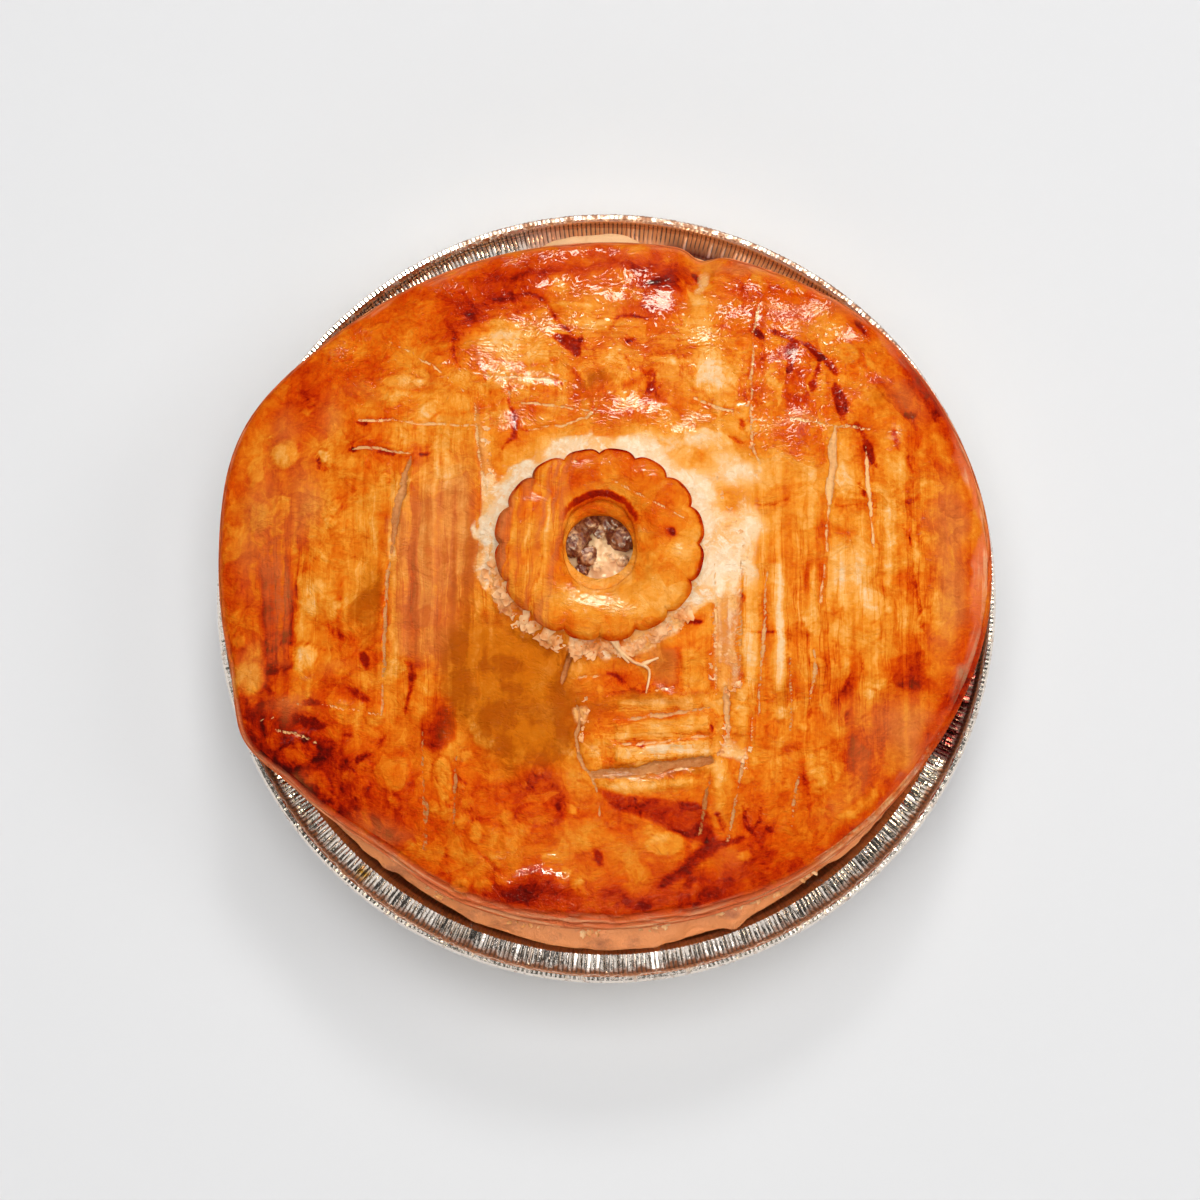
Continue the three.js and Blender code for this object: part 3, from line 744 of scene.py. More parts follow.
# Leaves of dough with torn edges: their corners, how much more they baked, how bare and how dull each is
LEAVES = (
    (((-96, 10), (-91, 14), (-88, 4), (-87.2, -10), (-87, -24), (-94, -23), (-95, -8)), 0.14, 0, 0.15),
    (((-86.4, 2), (-82, 4), (-80, -8), (-82, -18), (-86.4, -18)), -0.12, 0, 0),
    (((-87.6, -18.4), (-82, -18), (-81, -25), (-87, -26)), -0.16, 0.1, 0),
    (((-50, -33), (-42, -33.5), (-41.6, -44), (-44, -47), (-50, -46)), 0.16, 0, 0),
    (((28.8, 6), (33, 7), (36.4, 2), (36.2, -12), (35.6, -31), (31, -33), (29, -30),
      (29.2, -12)), -0.08, 0.42, 0.5),
    (((-37.4, 46), (-36, 49), (-33.6, 38), (-31.4, 30), (-29.4, 22), (-33, 21), (-35, 30),
      (-36.6, 40)), -0.04, 0.34, 0.7),
    (((58, 11), (66, 13), (75, 8), (76, -16), (67, -22), (60.5, -15), (59, 0)), -0.05, 0, 0),
    (((37.2, 4), (41.6, 3), (41.4, -34), (37, -31)), -0.08, 0.06, 0),
    (((43.8, 4), (49, 3), (49, -30), (43.4, -34)), -0.05, 0.04, 0),
    (((78, -22), (88, -20), (88, -30), (79, -28)), 0.10, 0, 0.1),
    (((67, -43), (72, -46), (70, -58), (62, -65), (59.6, -61), (65, -52)), 0.09, 0, 0.2),
    (((64, 40), (70, 40), (73, 22), (63, 22)), -0.05, 0, 0),
    (((36.2, -28), (40.2, -28), (40, -33.4), (36, -32.6)), -0.12, 0.1, 0),
    (((34, -36), (40, -36), (39.6, -42.4), (34, -41)), -0.04, 0, 0),
    (((32.6, -43), (39, -43), (38, -49.4), (31.6, -49)), -0.09, 0.1, 0),
    (((20, -20), (27, -17), (28.6, -33), (20.6, -33)), -0.09, 0, 0),
    (((12.6, -21), (19, -20), (19.4, -30), (13.4, -31)), 0.02, 0, 0.5),
    (((-60, 16), (-54, 18), (-53.2, -22), (-59.6, -22)), -0.03, 0, 0.35),
    (((-52.6, 20), (-47, 22), (-47, -14), (-52.4, -14)), 0.04, 0, 0.4),
    (((-46, 26), (-38, 28), (-37, 2), (-45.6, -4)), -0.04, 0.05, 0.3),
    (((-100, -17), (-96, -16), (-94, -28), (-99, -34), (-104, -26)), -0.10, 0, 0.1),
    (((-66, 58), (-52, 60), (-44, 55), (-56, 53)), -0.06, 0.05, 0.25),
    (((-34, 74), (-20, 74), (-10, 62), (-26, 60), (-36, 64)), -0.04, 0.02, 0),
    (((-4, 64), (4, 66), (8, 54), (0, 50)), -0.07, 0.04, 0),
    (((24, 66), (38, 66), (37, 51), (24, 52)), -0.04, 0.02, 0),
    (((20, 42), (34, 40), (38, 32), (30, 31), (22, 36)), -0.10, 0.22, 0),
    (((44, 36), (57, 34), (58, 26), (46, 25)), -0.06, 0.05, 0),
    (((51, 23), (59, 24), (59, 14), (52, 13)), -0.08, 0.08, 0),
    (((54, -48), (62, -46), (60, -57), (54, -58)), -0.06, 0, 0),
    (((-36, -58), (-22, -56), (-16, -64), (-28, -68), (-38, -66)), 0.06, 0, 0),
    (((-14, -66), (-2, -64), (4, -72), (-8, -76)), -0.05, 0, 0),
    (((6, -68), (20, -70), (22, -77), (10, -78)), -0.06, 0, 0),
    (((-84, -43), (-72, -45), (-70, -52), (-80, -50)), 0.08, 0, 0),
    (((-2.6, -58.4), (6, -60), (14, -61), (24, -62), (28, -66), (27.4, -73.6), (23, -71.4), (18, -70),
      (11.6, -66.4), (2, -62.6)), 0.27, 0, 0),
    (((29, -72), (31.4, -74), (22, -80.4), (14, -84), (16, -81)), 0.18, 0, 0),
)

# Strokes where the wash ran together and scorched: the points, the width and the strength of each
SCORCHES = (
    (((-28, 82.5), (-23, 82), (-17, 78), (-12, 72.5), (-9.6, 68.5)), 0.9, 0.85),
    (((-13.8, 69), (-11, 66.5), (-9, 63)), 3.4, 1), (((-7.6, 68.5), (-8.4, 66)), 1.4, 0.9),
    (((-7, 65), (-3.5, 60), (-0.5, 54.5)), 1.3, 0.4),
    (((1, 70.5), (2.4, 74), (4, 74.6), (11, 73)), 1, 0.8), (((5, 66.5), (7.5, 68)), 1.6, 0.6),
    (((10, 66), (9.2, 60)), 1, 0.4), (((12.8, 57.5), (12, 52)), 3.2, 0.75),
    (((-43.4, 68.5), (-43.2, 63.5), (-41, 59.5)), 1.3, 0.6), (((-38.6, 74.5), (-37, 73)), 2.8, 0.7),
    (((-16.5, 54.8), (-12.5, 54.4)), 1.5, 0.75),
    (((-27.8, 50), (-25.6, 44), (-25, 38), (-28, 34.5)), 2, 0.65), (((-33, 46), (-31, 40)), 1.8, 0.6),
    (((-23, 40.8), (-21.5, 40.6)), 1, 0.7), (((-69.8, 45), (-67.8, 44.7)), 2, 0.95),
    (((-64.5, 45), (-58, 44.5)), 1.2, 0.7), (((-63, 35.3), (-59, 35)), 1.7, 0.85),
    (((-71, 36.6), (-69, 36.4)), 1.4, 0.7), (((-52, 34.7), (-49.5, 34.5)), 1.4, 0.7),
    (((-79.8, 34.5), (-79.4, 31.4), (-77, 31)), 1.5, 0.75), (((-69, 24), (-68, 22)), 2.2, 0.6),
    (((-66.5, 63), (-63.5, 64.4)), 1.6, 0.45), (((42.6, 70.6), (43.6, 69)), 2.6, 1),
    (((45.6, 71.8), (50.6, 69.6), (51.6, 68.2)), 1.3, 0.9),
    (((52.2, 68.4), (50.8, 65), (50.2, 59.4)), 2.9, 1.05), (((43, 62), (47, 60.6), (50, 59.4)), 1.2, 0.6),
    (((52.2, 68.4), (55.4, 67.8), (59, 64.2), (62.4, 61.2), (64.6, 58.4)), 1.6, 1),
    (((59.2, 63.8), (58.6, 58.6), (57.8, 54.6)), 1.6, 0.95), (((58, 55.6), (57.4, 53.6)), 3.4, 1),
    (((64.8, 55), (65.4, 50.2), (64.6, 43.2)), 2.3, 1.05),
    (((64.6, 43.6), (69.2, 43.4), (71.6, 40.2), (73.8, 36.4), (75.4, 32.4)), 1.9, 1),
    (((76.4, 31.5), (80, 24), (84, 12), (86, 2)), 0.9, 0.65),
    (((79.2, 42.4), (80.6, 40), (81, 37.2)), 2.2, 0.9), (((82, 39), (85, 31)), 2.2, 0.45),
    (((83, 46.6), (86.2, 47.6)), 1.7, 0.95),
    (((64.8, 58.4), (70, 58.6), (74.2, 57.4), (78.2, 50.4), (79.2, 46.4)), 1, 0.6),
    (((47, 47.6), (62, 44.8), (77, 43)), 1.1, 0.45), (((70.8, 75), (73, 71.2)), 1.7, 0.9),
    (((66, 66), (70, 62)), 1.4, 0.4), (((36.6, 44.6), (37.4, 41.6)), 2, 0.75),
    (((34, 39.4), (38.4, 37.2)), 1.5, 0.75), (((38.6, 58), (38.4, 48)), 1.3, 0.5),
    (((24.6, 89.6), (26.8, 86.4)), 1.8, 0.8), (((16, 93.6), (19, 92)), 2, 0.6),
    (((40, 20.4), (45, 21), (49, 22.2)), 1.1, 0.6), (((62, 21), (80, 19.8)), 0.9, 0.55),
    (((73.5, 20.6), (76, 20.4)), 1.8, 0.75), (((70.6, 27), (71, 23.5)), 1.3, 0.7),
    (((52, 29.4), (58, 28)), 1.3, 0.45), (((36.2, -5), (36.4, -8)), 1.3, 0.7),
    (((38, -15.4), (50, -15.6)), 1.3, 0.5), (((53.5, -10), (55, -18)), 2.2, 0.45),
    (((60.6, -6), (61.4, -20), (60, -27)), 1.4, 0.45),
    (((84, 2), (86.4, -8), (87.2, -12.5), (90, -17), (92, -15.5)), 1.3, 0.75),
    (((70.4, -22), (70, -25)), 1.7, 0.65), (((66.6, -26), (63, -33)), 1.4, 0.55),
    (((66.4, -36), (65.4, -39)), 1.6, 0.65), (((68.4, -43), (66, -48)), 2.6, 0.45),
    (((76.4, -31), (76.2, -42), (74.4, -50)), 1.1, 0.6), (((56.2, -35), (56, -37.6)), 1.4, 0.9),
    (((52.6, -50), (54.4, -59)), 1.2, 0.6), (((22.6, -12.6), (26.4, -12.8)), 1.4, 0.75),
    (((27.6, -16), (24, -22), (21.5, -26)), 1.2, 0.5),
    (((0.4, -27.4), (3, -27.8), (5.8, -29.8)), 1.1, 0.85),
    (((2, -32.6), (10, -32.4), (11.4, -32.2)), 1.2, 0.7), (((8, -45.9), (9.4, -45.8)), 1.6, 1),
    (((28.4, -41), (28.8, -42)), 1, 0.8), (((10, -62.6), (18, -65.4), (25.6, -67.6)), 2.4, 0.45),
    (((27, -68), (28.6, -73), (23, -77.6), (15.8, -82.4)), 2.6, 0.62),
    (((28.4, -74.6), (33, -72.6), (37, -71.4)), 2, 0.72), (((29.6, -65), (31.6, -69.6)), 1.9, 0.75),
    (((36.4, -62), (37.6, -68), (40, -70.4)), 1.4, 0.8),
    (((43, -60.6), (42, -66), (40, -68.4)), 1.1, 0.65), (((44.4, -68), (46, -68.6)), 2.2, 0.7),
    (((-2.6, -75), (-1.4, -78)), 2.8, 0.65), (((21, -83.6), (23.6, -82.8)), 2.4, 0.75),
    (((26.4, -82.6), (30, -83.4), (35, -83)), 2, 0.7), (((25, -87.4), (31, -85.6)), 1.8, 0.7),
    (((19, -90), (23, -88.6)), 2.6, 0.8), (((3.6, -85.6), (5.6, -88.8), (3, -90.4)), 2, 0.75),
    (((6, -89.8), (12, -90.2)), 2.4, 0.65), (((-26, -85.8), (-20, -86.6)), 3.2, 0.55),
    (((-16.4, -86.6), (-10.6, -87.4)), 2.8, 0.6), (((-33.6, -76), (-29.6, -80.4)), 2, 0.55),
    (((-14.6, -57.4), (-12, -60), (-13.4, -63.4)), 3.6, 0.4),
    (((-47.4, -67), (-44, -72), (-43.6, -79)), 1.6, 0.55),
    (((-53.8, -24), (-53.6, -30), (-54.6, -38)), 1.2, 0.75),
    (((-58, -23.4), (-48, -24.8), (-36, -27)), 1.2, 0.4), (((-48, -12), (-47.6, -20)), 0.8, 0.35),
    (((-66.6, -21), (-65, -24.6)), 3.4, 0.75), (((-77, -12.6), (-73, -17)), 5, 0.55),
    (((-79.4, -19.4), (-76, -19.8)), 1.2, 0.75), (((-70.4, -30.6), (-66, -34)), 3.6, 0.6),
    (((-86.6, 2), (-86.4, -10), (-86.8, -22)), 1.5, 0.75),
    (((-93.8, 0), (-92.4, -12), (-90.6, -20)), 1.1, 0.5), (((-94, -25), (-91, -24.8)), 1.7, 0.95),
    (((-95, -28), (-91.6, -31.4)), 1.8, 0.6), (((-96, -32.6), (-96.4, -37)), 2.6, 0.7),
    (((-83, -34.6), (-79.4, -34.8)), 2.2, 0.95), (((-86.6, -38.4), (-82, -40), (-77.8, -40.8)), 1.9, 1),
    (((-95.4, -41.4), (-94.6, -45.4), (-92.6, -49)), 3, 0.8), (((-88, -45.4), (-81.4, -47)), 1.6, 0.55),
    (((-78, -51), (-73.6, -53)), 3.6, 0.6), (((-74.6, -45.4), (-76.4, -44)), 2.4, 0.55),
    (((-72.4, -43.6), (-68.6, -43.8)), 1.1, 0.75), (((-67.6, -49.6), (-64, -47.6)), 1.6, 0.65),
    (((-72.4, -60.6), (-68.6, -64.4)), 2.6, 0.55), (((-65, -65.6), (-62.4, -67.8)), 1.9, 0.8),
    (((-41.6, -36), (-42, -38.6)), 1.8, 0.6), (((-60, -43), (-61.6, -45.6)), 1.3, 0.65),
    (((-28, -18), (-20, -24), (-19.6, -31)), 1.5, 0.45), (((85, 60), (91, 53), (96.5, 43)), 5, 0.42),
    (((-97, -44), (-92, -52), (-84, -58)), 4, 0.5), (((-80, -46), (-74, -51), (-68, -58)), 4, 0.35),
)

# Blisters: middle, half widths, and how much more (or less) than the lid round it each has baked
BLISTERS = (
    (-85, -48, 6.5, 3.6, -0.10), (-79, -56.6, 4.4, 4.2, -0.10), (-103, -16.4, 2.6, 2.2, -0.16),
    (-104, -9.8, 2.4, 2.4, -0.08), (-101, -26.6, 6.5, 5.6, -0.14), (-93, -44, 2.4, 2, -0.12),
    (-76, -62, 2.6, 4.6, -0.12), (-46, -41, 4.6, 6.2, 0.20), (-33.4, -45, 3.8, 3, -0.14),
    (-7.4, -83.6, 2.4, 2, -0.16), (-18, -65, 6, 3, -0.08), (15.4, -73, 6.4, 3.4, -0.10),
    (37, -76.6, 2, 1.8, -0.20), (-90, 36, 4.6, 5, -0.16), (-76, 67, 5, 3.4, -0.06),
    (-83, -21, 3, 3.2, -0.16), (-78, -8, 6, 4.6, -0.10), (-63.6, -38, 3, 3, -0.08),
    (-58, -53, 5.6, 5, -0.06), (-44, -54.6, 3, 6, -0.14), (57, -55, 4, 4.4, -0.08), (74, -40, 3, 6, 0.06),
    (-34, -84, 3, 2.2, -0.12), (-40, -84, 2.6, 2, -0.14), (24, -79, 3, 2.2, -0.06),
    (-16, -37, 5.4, 3, -0.16), (74, 52, 5, 4.4, 0.02), (66, 64.6, 5, 4, -0.06),
    (-78.3, 34.5, 1.9, 1.9, -0.40), (-97, 18, 3.4, 5, -0.06), (-99, 32, 3, 4, -0.08),
)

# Broad patches where the lid baked more or less: middle, half widths, and how much
BAKED_PATCHES = (
    (-84, 54, 8, 7, 0.20), (-66, 62, 8, 5, 0.10), (-40, 83, 22, 7, 0.14), (-38, 74, 5, 4, 0.10),
    (-28, 66, 12, 8, -0.08), (-34, 56, 10, 6, -0.08), (-62, 56, 14, 5, -0.10), (-48, 45, 14, 8, -0.08),
    (-82, 30, 6, 14, 0.08), (-70, 26, 8, 9, 0.06), (-95, -2, 4, 18, 0.10), (-89.5, -9, 3.4, 15, 0.13),
    (-75, -15, 5, 4.5, 0.18), (-66, -20, 7, 8, 0.04), (-75, 2, 8, 8, -0.08), (-57, -8, 3.4, 20, 0.10),
    (-52, -6, 2.4, 18, 0.14), (-69, -32, 5, 3.5, 0.12), (-90, -38, 10, 9, 0.08), (-86, -52, 12, 9, 0.05),
    (-70, -54, 14, 9, -0.02), (-60, -66, 12, 5, 0.08), (-96, -46, 6, 9, 0.09), (66, -50, 22, 18, -0.09),
    (-46, -40, 6, 7, 0.04), (-30, -56, 16, 9, 0.03), (-30, -70, 16, 7, -0.02), (-12, -58, 8, 7, 0.04),
    (8, -64, 12, 6, 0.07), (0, 74, 60, 16, 0.06), (-62, 58, 24, 14, 0.04), (62, 58, 18, 14, -0.07),
    (-10, -72, 8, 6, -0.06), (12, -72, 10, 5, -0.02), (0, -88, 50, 5, 0.07), (26, -78, 12, 8, 0.10),
    (-22, -86, 14, 4, 0.10), (42, -76, 10, 8, 0.10), (12, -38, 18, 5, -0.10), (6, -44, 12, 3.4, -0.14),
    (14, -48, 16, 3, -0.14), (6, -56.5, 10, 2.2, -0.16), (-6, -28, 5, 3, -0.14), (20, -14, 6, 8, -0.06),
    (33, -52, 5, 6, -0.12), (42, -12, 6, 20, -0.09), (49, -5, 6, 14, -0.07), (67, -7, 9, 13, -0.08),
    (-48, 4, 12, 28, -0.06), (-71, 10, 12, 24, -0.04), (12, -42, 18, 10, 0.01), (78, -38, 12, 14, -0.04),
    (66, -37, 10, 10, -0.05), (12, -30, 10, 5, 0.08), (-77, -50, 8, 8, 0.04), (-83, 15, 8, 12, -0.04),
    (58, -14, 4, 12, 0.06), (72, -32, 10, 8, 0.03), (84, -24, 10, 9, 0.05), (92, -8, 6, 16, 0.02),
    (62, -62, 14, 9, 0.01), (78, -42, 9, 12, 0.03), (70, -52, 10, 8, 0.02), (90, 10, 8, 20, -0.04),
    (80, 28, 8, 14, 0.02), (66, 30, 8, 9, -0.08), (52, 24, 9, 9, -0.08), (38, 30, 7, 5, -0.10),
    (24, 38, 10, 4, -0.20), (32, 58, 7, 8, -0.16), (56, 52, 14, 8, 0.06), (48, 62, 7, 6, 0.10),
    (62, 58, 8, 8, 0.02), (28, 82, 5, 14, -0.28), (13, 90, 7, 7, 0.10), (-4, 93, 18, 4, 0.08),
    (16, 84, 8, 5, 0.06), (-12, 82, 16, 5, -0.08), (14, 52, 8, 6, 0.08), (2, 44, 10, 5, 0.08),
    (-10, 58, 6, 4, -0.10), (4, 62, 7, 6, -0.14), (-2, 75, 10, 6, -0.06), (24, 60, 6, 6, -0.06),
    (90, 52, 7, 9, 0.10), (84, 62, 8, 7, 0.06), (-28, 40, 6, 6, 0.10), (96, 36, 5, 12, 0.06),
    (-100, 10, 5, 20, 0.02), (-104, -8, 4, 16, -0.02), (-92, 44, 6, 6, 0.02), (-62, 16, 5, 14, -0.05),
    (0, -87, 46, 7, 0.07), (-20, -57, 15, 9, 0.12), (-78, -58, 16, 10, 0.12), (-93, -42, 8, 13, 0.10),
    (66, 0, 8, 16, -0.08), (39, -8, 3, 18, -0.16), (47, -6, 3, 11, -0.08), (30, 28, 8, 5, -0.16),
    (41, 11, 5, 12, -0.16), (30, 58, 7, 7, -0.10), (-24, 66, 10, 6, -0.10), (-72, -62, 10, 5, 0.10),
    (-50, -66, 14, 8, 0.06), (52, -48, 8, 4, 0.08), (68, -46, 5, 7, 0.12), (82, -24, 5, 4, 0.10),
    (72, -38, 4, 5, 0.10), (0, 89, 40, 7, 0.12), (50, 80, 18, 6, 0.08), (10, -38, 14, 4, 0.03),
    (8, -44, 16, 6, 0.07), (0, -90, 50, 4, 0.05), (0, -80, 50, 10, 0.01), (-20, -58, 16, 9, 0.05),
    (-92, -44, 7, 9, 0.10), (-74, -50, 10, 8, 0.10), (54, 14, 8, 10, -0.12), (26, -36, 7, 6, -0.09),
    (-3, -44, 6, 5, -0.06), (86, 14, 8, 12, -0.07), (-80, -31, 8, 7, 0.10), (-92, 14, 6, 12, 0.07),
    (-3, 43, 10, 4, -0.06), (-17, 39, 7, 5, -0.08), (-27, 28, 5, 6, -0.07), (44, -28, 5, 10, -0.05),
)

# Single brush strokes that show: the points, the width, and how much more or less each baked
STROKES = (
    (((39, 5), (39, -28)), 4.4, -0.10), (((43, 4), (42.6, -24)), 1.3, 0.12),
    (((47.6, 3), (47.4, -13)), 4, -0.08), (((57, 10), (55, 0), (54, -10)), 1.5, 0.26),
    (((63, -4), (61.4, -13)), 1.8, 0.24), (((59.6, -20), (59.4, -29)), 2.2, 0.20),
    (((68, -23), (66.6, -30), (62, -36)), 2.4, 0.24), (((52, -12), (54, -18)), 3, 0.20),
    (((45, -48.4), (53, -46)), 2.2, 0.20), (((68.4, -44), (66, -52), (60, -60)), 5, 0.10),
    (((76.5, -33), (76.6, -42), (75.4, -50), (71, -60)), 1, 0.18),
    (((86.4, -20), (86.2, -28)), 1.1, 0.14), (((52.8, -48), (54, -54), (54.8, -60)), 1.8, 0.22),
    (((66, 8), (66, -18)), 5, -0.02), (((82, 30), (86, 16), (88, 2)), 1.2, 0.16),
    (((92, 30), (95, 14), (96, -2)), 1.2, 0.12), (((70, 18), (71, 0)), 2.6, -0.10),
    (((60, 18), (58.4, -4)), 2, 0.10), (((-52.6, 14), (-53, 0), (-53.4, -12)), 1.4, 0.20),
    (((-46, 28), (-46.6, 6), (-46.4, -18)), 1, 0.14), (((-41.6, 30), (-42, 10), (-42.6, -12)), 1, 0.16),
    (((-50, 32), (-50.4, 16)), 1.6, -0.10), (((-38, 26), (-38.4, 2)), 1.4, -0.12),
    (((-86.8, 6), (-86.4, -8), (-86.8, -24)), 1.4, 0.20), (((-94, 14), (-93, -4), (-92.4, -20)), 1, 0.12),
    (((-82, 0), (-82, -12)), 4, -0.14), (((-76, 24), (-72, 12), (-70, 2)), 3, -0.08),
    (((-64, 30), (-64, 10)), 3, -0.06), (((-56, -24), (-47, -25)), 1.4, 0.14),
    (((-62, 58), (-56, 58.6), (-48, 56), (-44, 54)), 1.2, 0.14),
    (((-66, 51), (-52, 52), (-44, 50)), 1.6, -0.10), (((-20, 76), (-12, 78), (0, 77)), 1.2, -0.14),
    (((-34, 52), (-24, 53), (-12, 51)), 1.2, 0.16), (((-10, 60), (-6, 52), (-4, 46)), 1.4, 0.18),
    (((0, 60), (4, 52), (6, 46)), 1.4, -0.14), (((8, 62), (14, 50), (22, 44)), 1.2, 0.16),
    (((16, 66), (20, 58), (30, 50)), 1.2, -0.12), (((20, 50), (30, 47), (38, 46)), 1.4, 0.16),
    (((24, 72), (32, 70), (40, 71)), 1.4, -0.12), (((-30, 87), (-16, 89), (0, 90)), 2.4, 0.14),
    (((-40, 78), (-30, 80), (-24, 80)), 2, 0.12), (((44, 54), (54, 50), (60, 52)), 2.4, 0.12),
    (((74, 60), (80, 54), (84, 46)), 1.4, 0.14),
)

# Where gravy or wash soaked in: middle, half widths, and how much
SOAKED_PATCHES = (
    (-40, 4, 5, 22, 0.4), (-30, -22, 15, 12, 1), (-22, -30, 14, 12, 1), (-36, -34, 8, 8, 0.9),
    (-24, -46, 12, 8, 0.7), (-14, -46, 8, 10, 0.6), (-66, -4, 3.6, 12, 0.8), (75, 51, 4.6, 4, 0.6),
    (-3, 55, 6, 3, 0.7), (10, -35.5, 16, 2.4, 0.7), (12, -52, 16, 2, 0.9), (16, -24, 4, 6, 0.6),
    (48, -32, 3, 9, 0.4),
)

# Where the wash missed the dough or it tore bare
BARE_PATCHES = (
    (38, 10, 4.5, 13, 0.75), (31, 27, 7, 5, 0.45), (38, 30, 7, 3.6, 0.4), (28.5, 86, 3, 9, 0.52),
    (44, 12, 5, 8, 0.35), (24, 38, 8, 2.4, 0.45), (-30, 14, 3, 14, 0.6), (-36, 6, 4, 12, 0.3),
    (33, -46, 3, 4, 0.5), (-8, -36, 2.4, 3.4, 0.5), (-5, -46, 3, 3, 0.4), (38, -48, 2.4, 4, 0.4),
    (5, 59, 4, 5, 0.3), (-33, 62, 6, 5, 0.25), (69, -10, 5, 9, 0.1),
)

# Matte pinkish-tan places where the wash was thin; those along the rim also paint in the milky sheen that
# lies there
DULL_PATCHES = (
    (-90, -6, 3.6, 17, 0.5), (-84, 22, 6, 12, 0.75), (-98, 16, 7, 24, 0.6), (-100, -24, 6, 8, 0.4),
    (-88, -36, 8, 4, 0.7), (-48, 6, 9, 26, 0.8), (-40, 16, 8, 18, 0.6), (-62, -69, 10, 4, 0.6),
    (-90, 44, 5, 8, 0.5), (84, 52, 7, 8, 0.6), (84, -43, 7, 11, 0.8), (70, -50, 7, 9, 0.3),
    (95, -8, 5, 16, 0.8), (96, 18, 6, 16, 0.7), (66, -37, 9, 9, 0.25), (-78, 45, 4, 8, 0.6),
    (-66, 54, 9, 4, 0.4), (76, -36, 8, 8, 0.4), (42, 92, 22, 2.4, 0.7), (72, 79, 9, 5, 0.6),
    (60, -64, 9, 6, 0.3), (-86, -56, 7, 4, 0.5), (10, -21, 7, 4, 0.7), (-46, -20, 8, 6, 0.5),
    (33.4, -14, 2, 18, 0.6), (-75, -26, 9, 3, 0.4),
)

# Where the wash baked most unevenly
UNEVEN_ZONES = (
    (-82, -46, 20, 22, 0.3), (62, -60, 24, 18, 0.4), (52, 55, 24, 18, 0.5), (-10, 62, 40, 20, 0.3),
    (-60, 40, 24, 14, 0.3), (-84, 20, 14, 24, 0.5), (90, 0, 12, 30, 0.5), (78, 30, 16, 22, 0.5),
)

# Where the brush left streaks
STREAKY_ZONES = (
    (-48, 0, 20, 34, 1), (50, -10, 20, 32, 0.8), (12, -42, 20, 13, 0.9), (0, 64, 50, 18, 0.6),
    (-89, -4, 8, 22, 0.8), (86, 5, 12, 30, 0.6), (68, -36, 14, 16, 0.5),
)

# Where the streaks run across the pie and not front to back
CROSSWISE_ZONES = ((12, -42, 20, 14, 1.0), (0, 80, 70, 26, 1.0))

# Where the wash dried thick and smooth and shines
GLOSSY_PATCHES = (
    (-28, 93.5, 8, 2.2, 0.6), (-14, 94.5, 8, 2.6, 0.55), (0, 95.5, 8, 2.4, 0.5), (8, 87, 7, 3, 0.55),
    (16, 79, 5, 3.6, 0.9), (-14, 85, 12, 3, 0.4), (-18, 73, 12, 4, 0.5), (2, 82, 8, 2, 0.5),
    (40, 84.5, 8, 3.6, 0.55), (54, 84, 7, 2.6, 0.5), (37, 75, 8, 2.4, 0.55), (51, 77.4, 7, 1.7, 0.6),
    (53, 74, 9, 5, 0.45), (27, 69, 5, 2.6, 0.5), (-30, 60, 10, 5, 0.7), (-20, 55, 9, 2, 0.9),
    (-28, 44, 5, 4, 1), (8, 47, 7, 3, 0.7), (22, 43, 7, 2.6, 0.7), (52, 43, 10, 2, 0.7),
    (68, 70, 5, 2.4, 0.9), (78, 57, 4, 1.8, 0.9), (81, 41, 3, 3, 0.7), (60, 79, 5, 2.6, 0.7),
    (-46, 84, 6, 3, 0.7), (-76, 66.6, 3, 2, 0.8), (-68, 70.6, 3, 2, 0.7), (50, 64, 5, 3, 0.7),
    (65, 10, 8, 10, 0.4), (50, 36, 9, 6, 0.5), (-20, -80.5, 8, 1.6, 1.4), (-30, -74, 4, 2, 0.7),
    (-15, -75, 2.4, 1.2, 0.8), (12, -45, 18, 3, 0.6), (6, -54.6, 8, 1.2, 1.3), (18, -52.6, 5, 1.2, 1.2),
    (16, -31.4, 4, 1.2, 1), (-83, -28.6, 4, 1.6, 0.8), (-70, -36, 8, 1, 0.7), (-85, -42.4, 6, 1.4, 0.7),
    (36, -29, 2, 1, 0.9), (86, 24, 8, 14, 0.2), (0, 70, 60, 22, 0.28), (-60, 58, 18, 14, 0.25),
    (60, 54, 24, 18, 0.38), (0, 46, 34, 6, 0.3), (88, 10, 10, 26, 0.2),
)


def oval_radius(half, angle):
    return 1 / np.hypot(np.cos(angle) / half[0], np.sin(angle) / half[1])


def lid_top(x, y):
    """The lid's top before baking moved it: the dome, drawn up to the ring and creased at the notch."""
    angle, away = from_vent_axis(x, y)
    ring = oval_radius(RING_HALF, angle)
    collar = COLLAR * (1 - smoothstep(away, ring - 2, ring + 6))
    reach = lid_reach(angle)
    crease = NOTCH_CREASE * bell(angle, *NOTCH) * smoothstep(away, reach - 24, reach)
    return dome(x, y) + collar - crease


def off_line(x, y, through):
    """How far each point lies from a bent line, how far along it that is, and the line's length."""
    nearest = np.full(x.shape, 1e9)
    along = np.zeros(x.shape)
    stops = np.array(through)
    spans = np.hypot(*np.diff(stops, axis=0).T)
    passed = 0.0
    for (ax, ay), (bx, by), span in zip(stops[:-1], stops[1:], spans):
        ux, uy = (bx - ax) / span, (by - ay) / span
        run = np.clip((x - ax) * ux + (y - ay) * uy, 0, span)
        away = np.hypot(x - ax - run * ux, y - ay - run * uy)
        closer = away < nearest
        along[closer] = passed + run[closer]
        nearest[closer] = away[closer]
        passed += span
    return nearest, along, passed


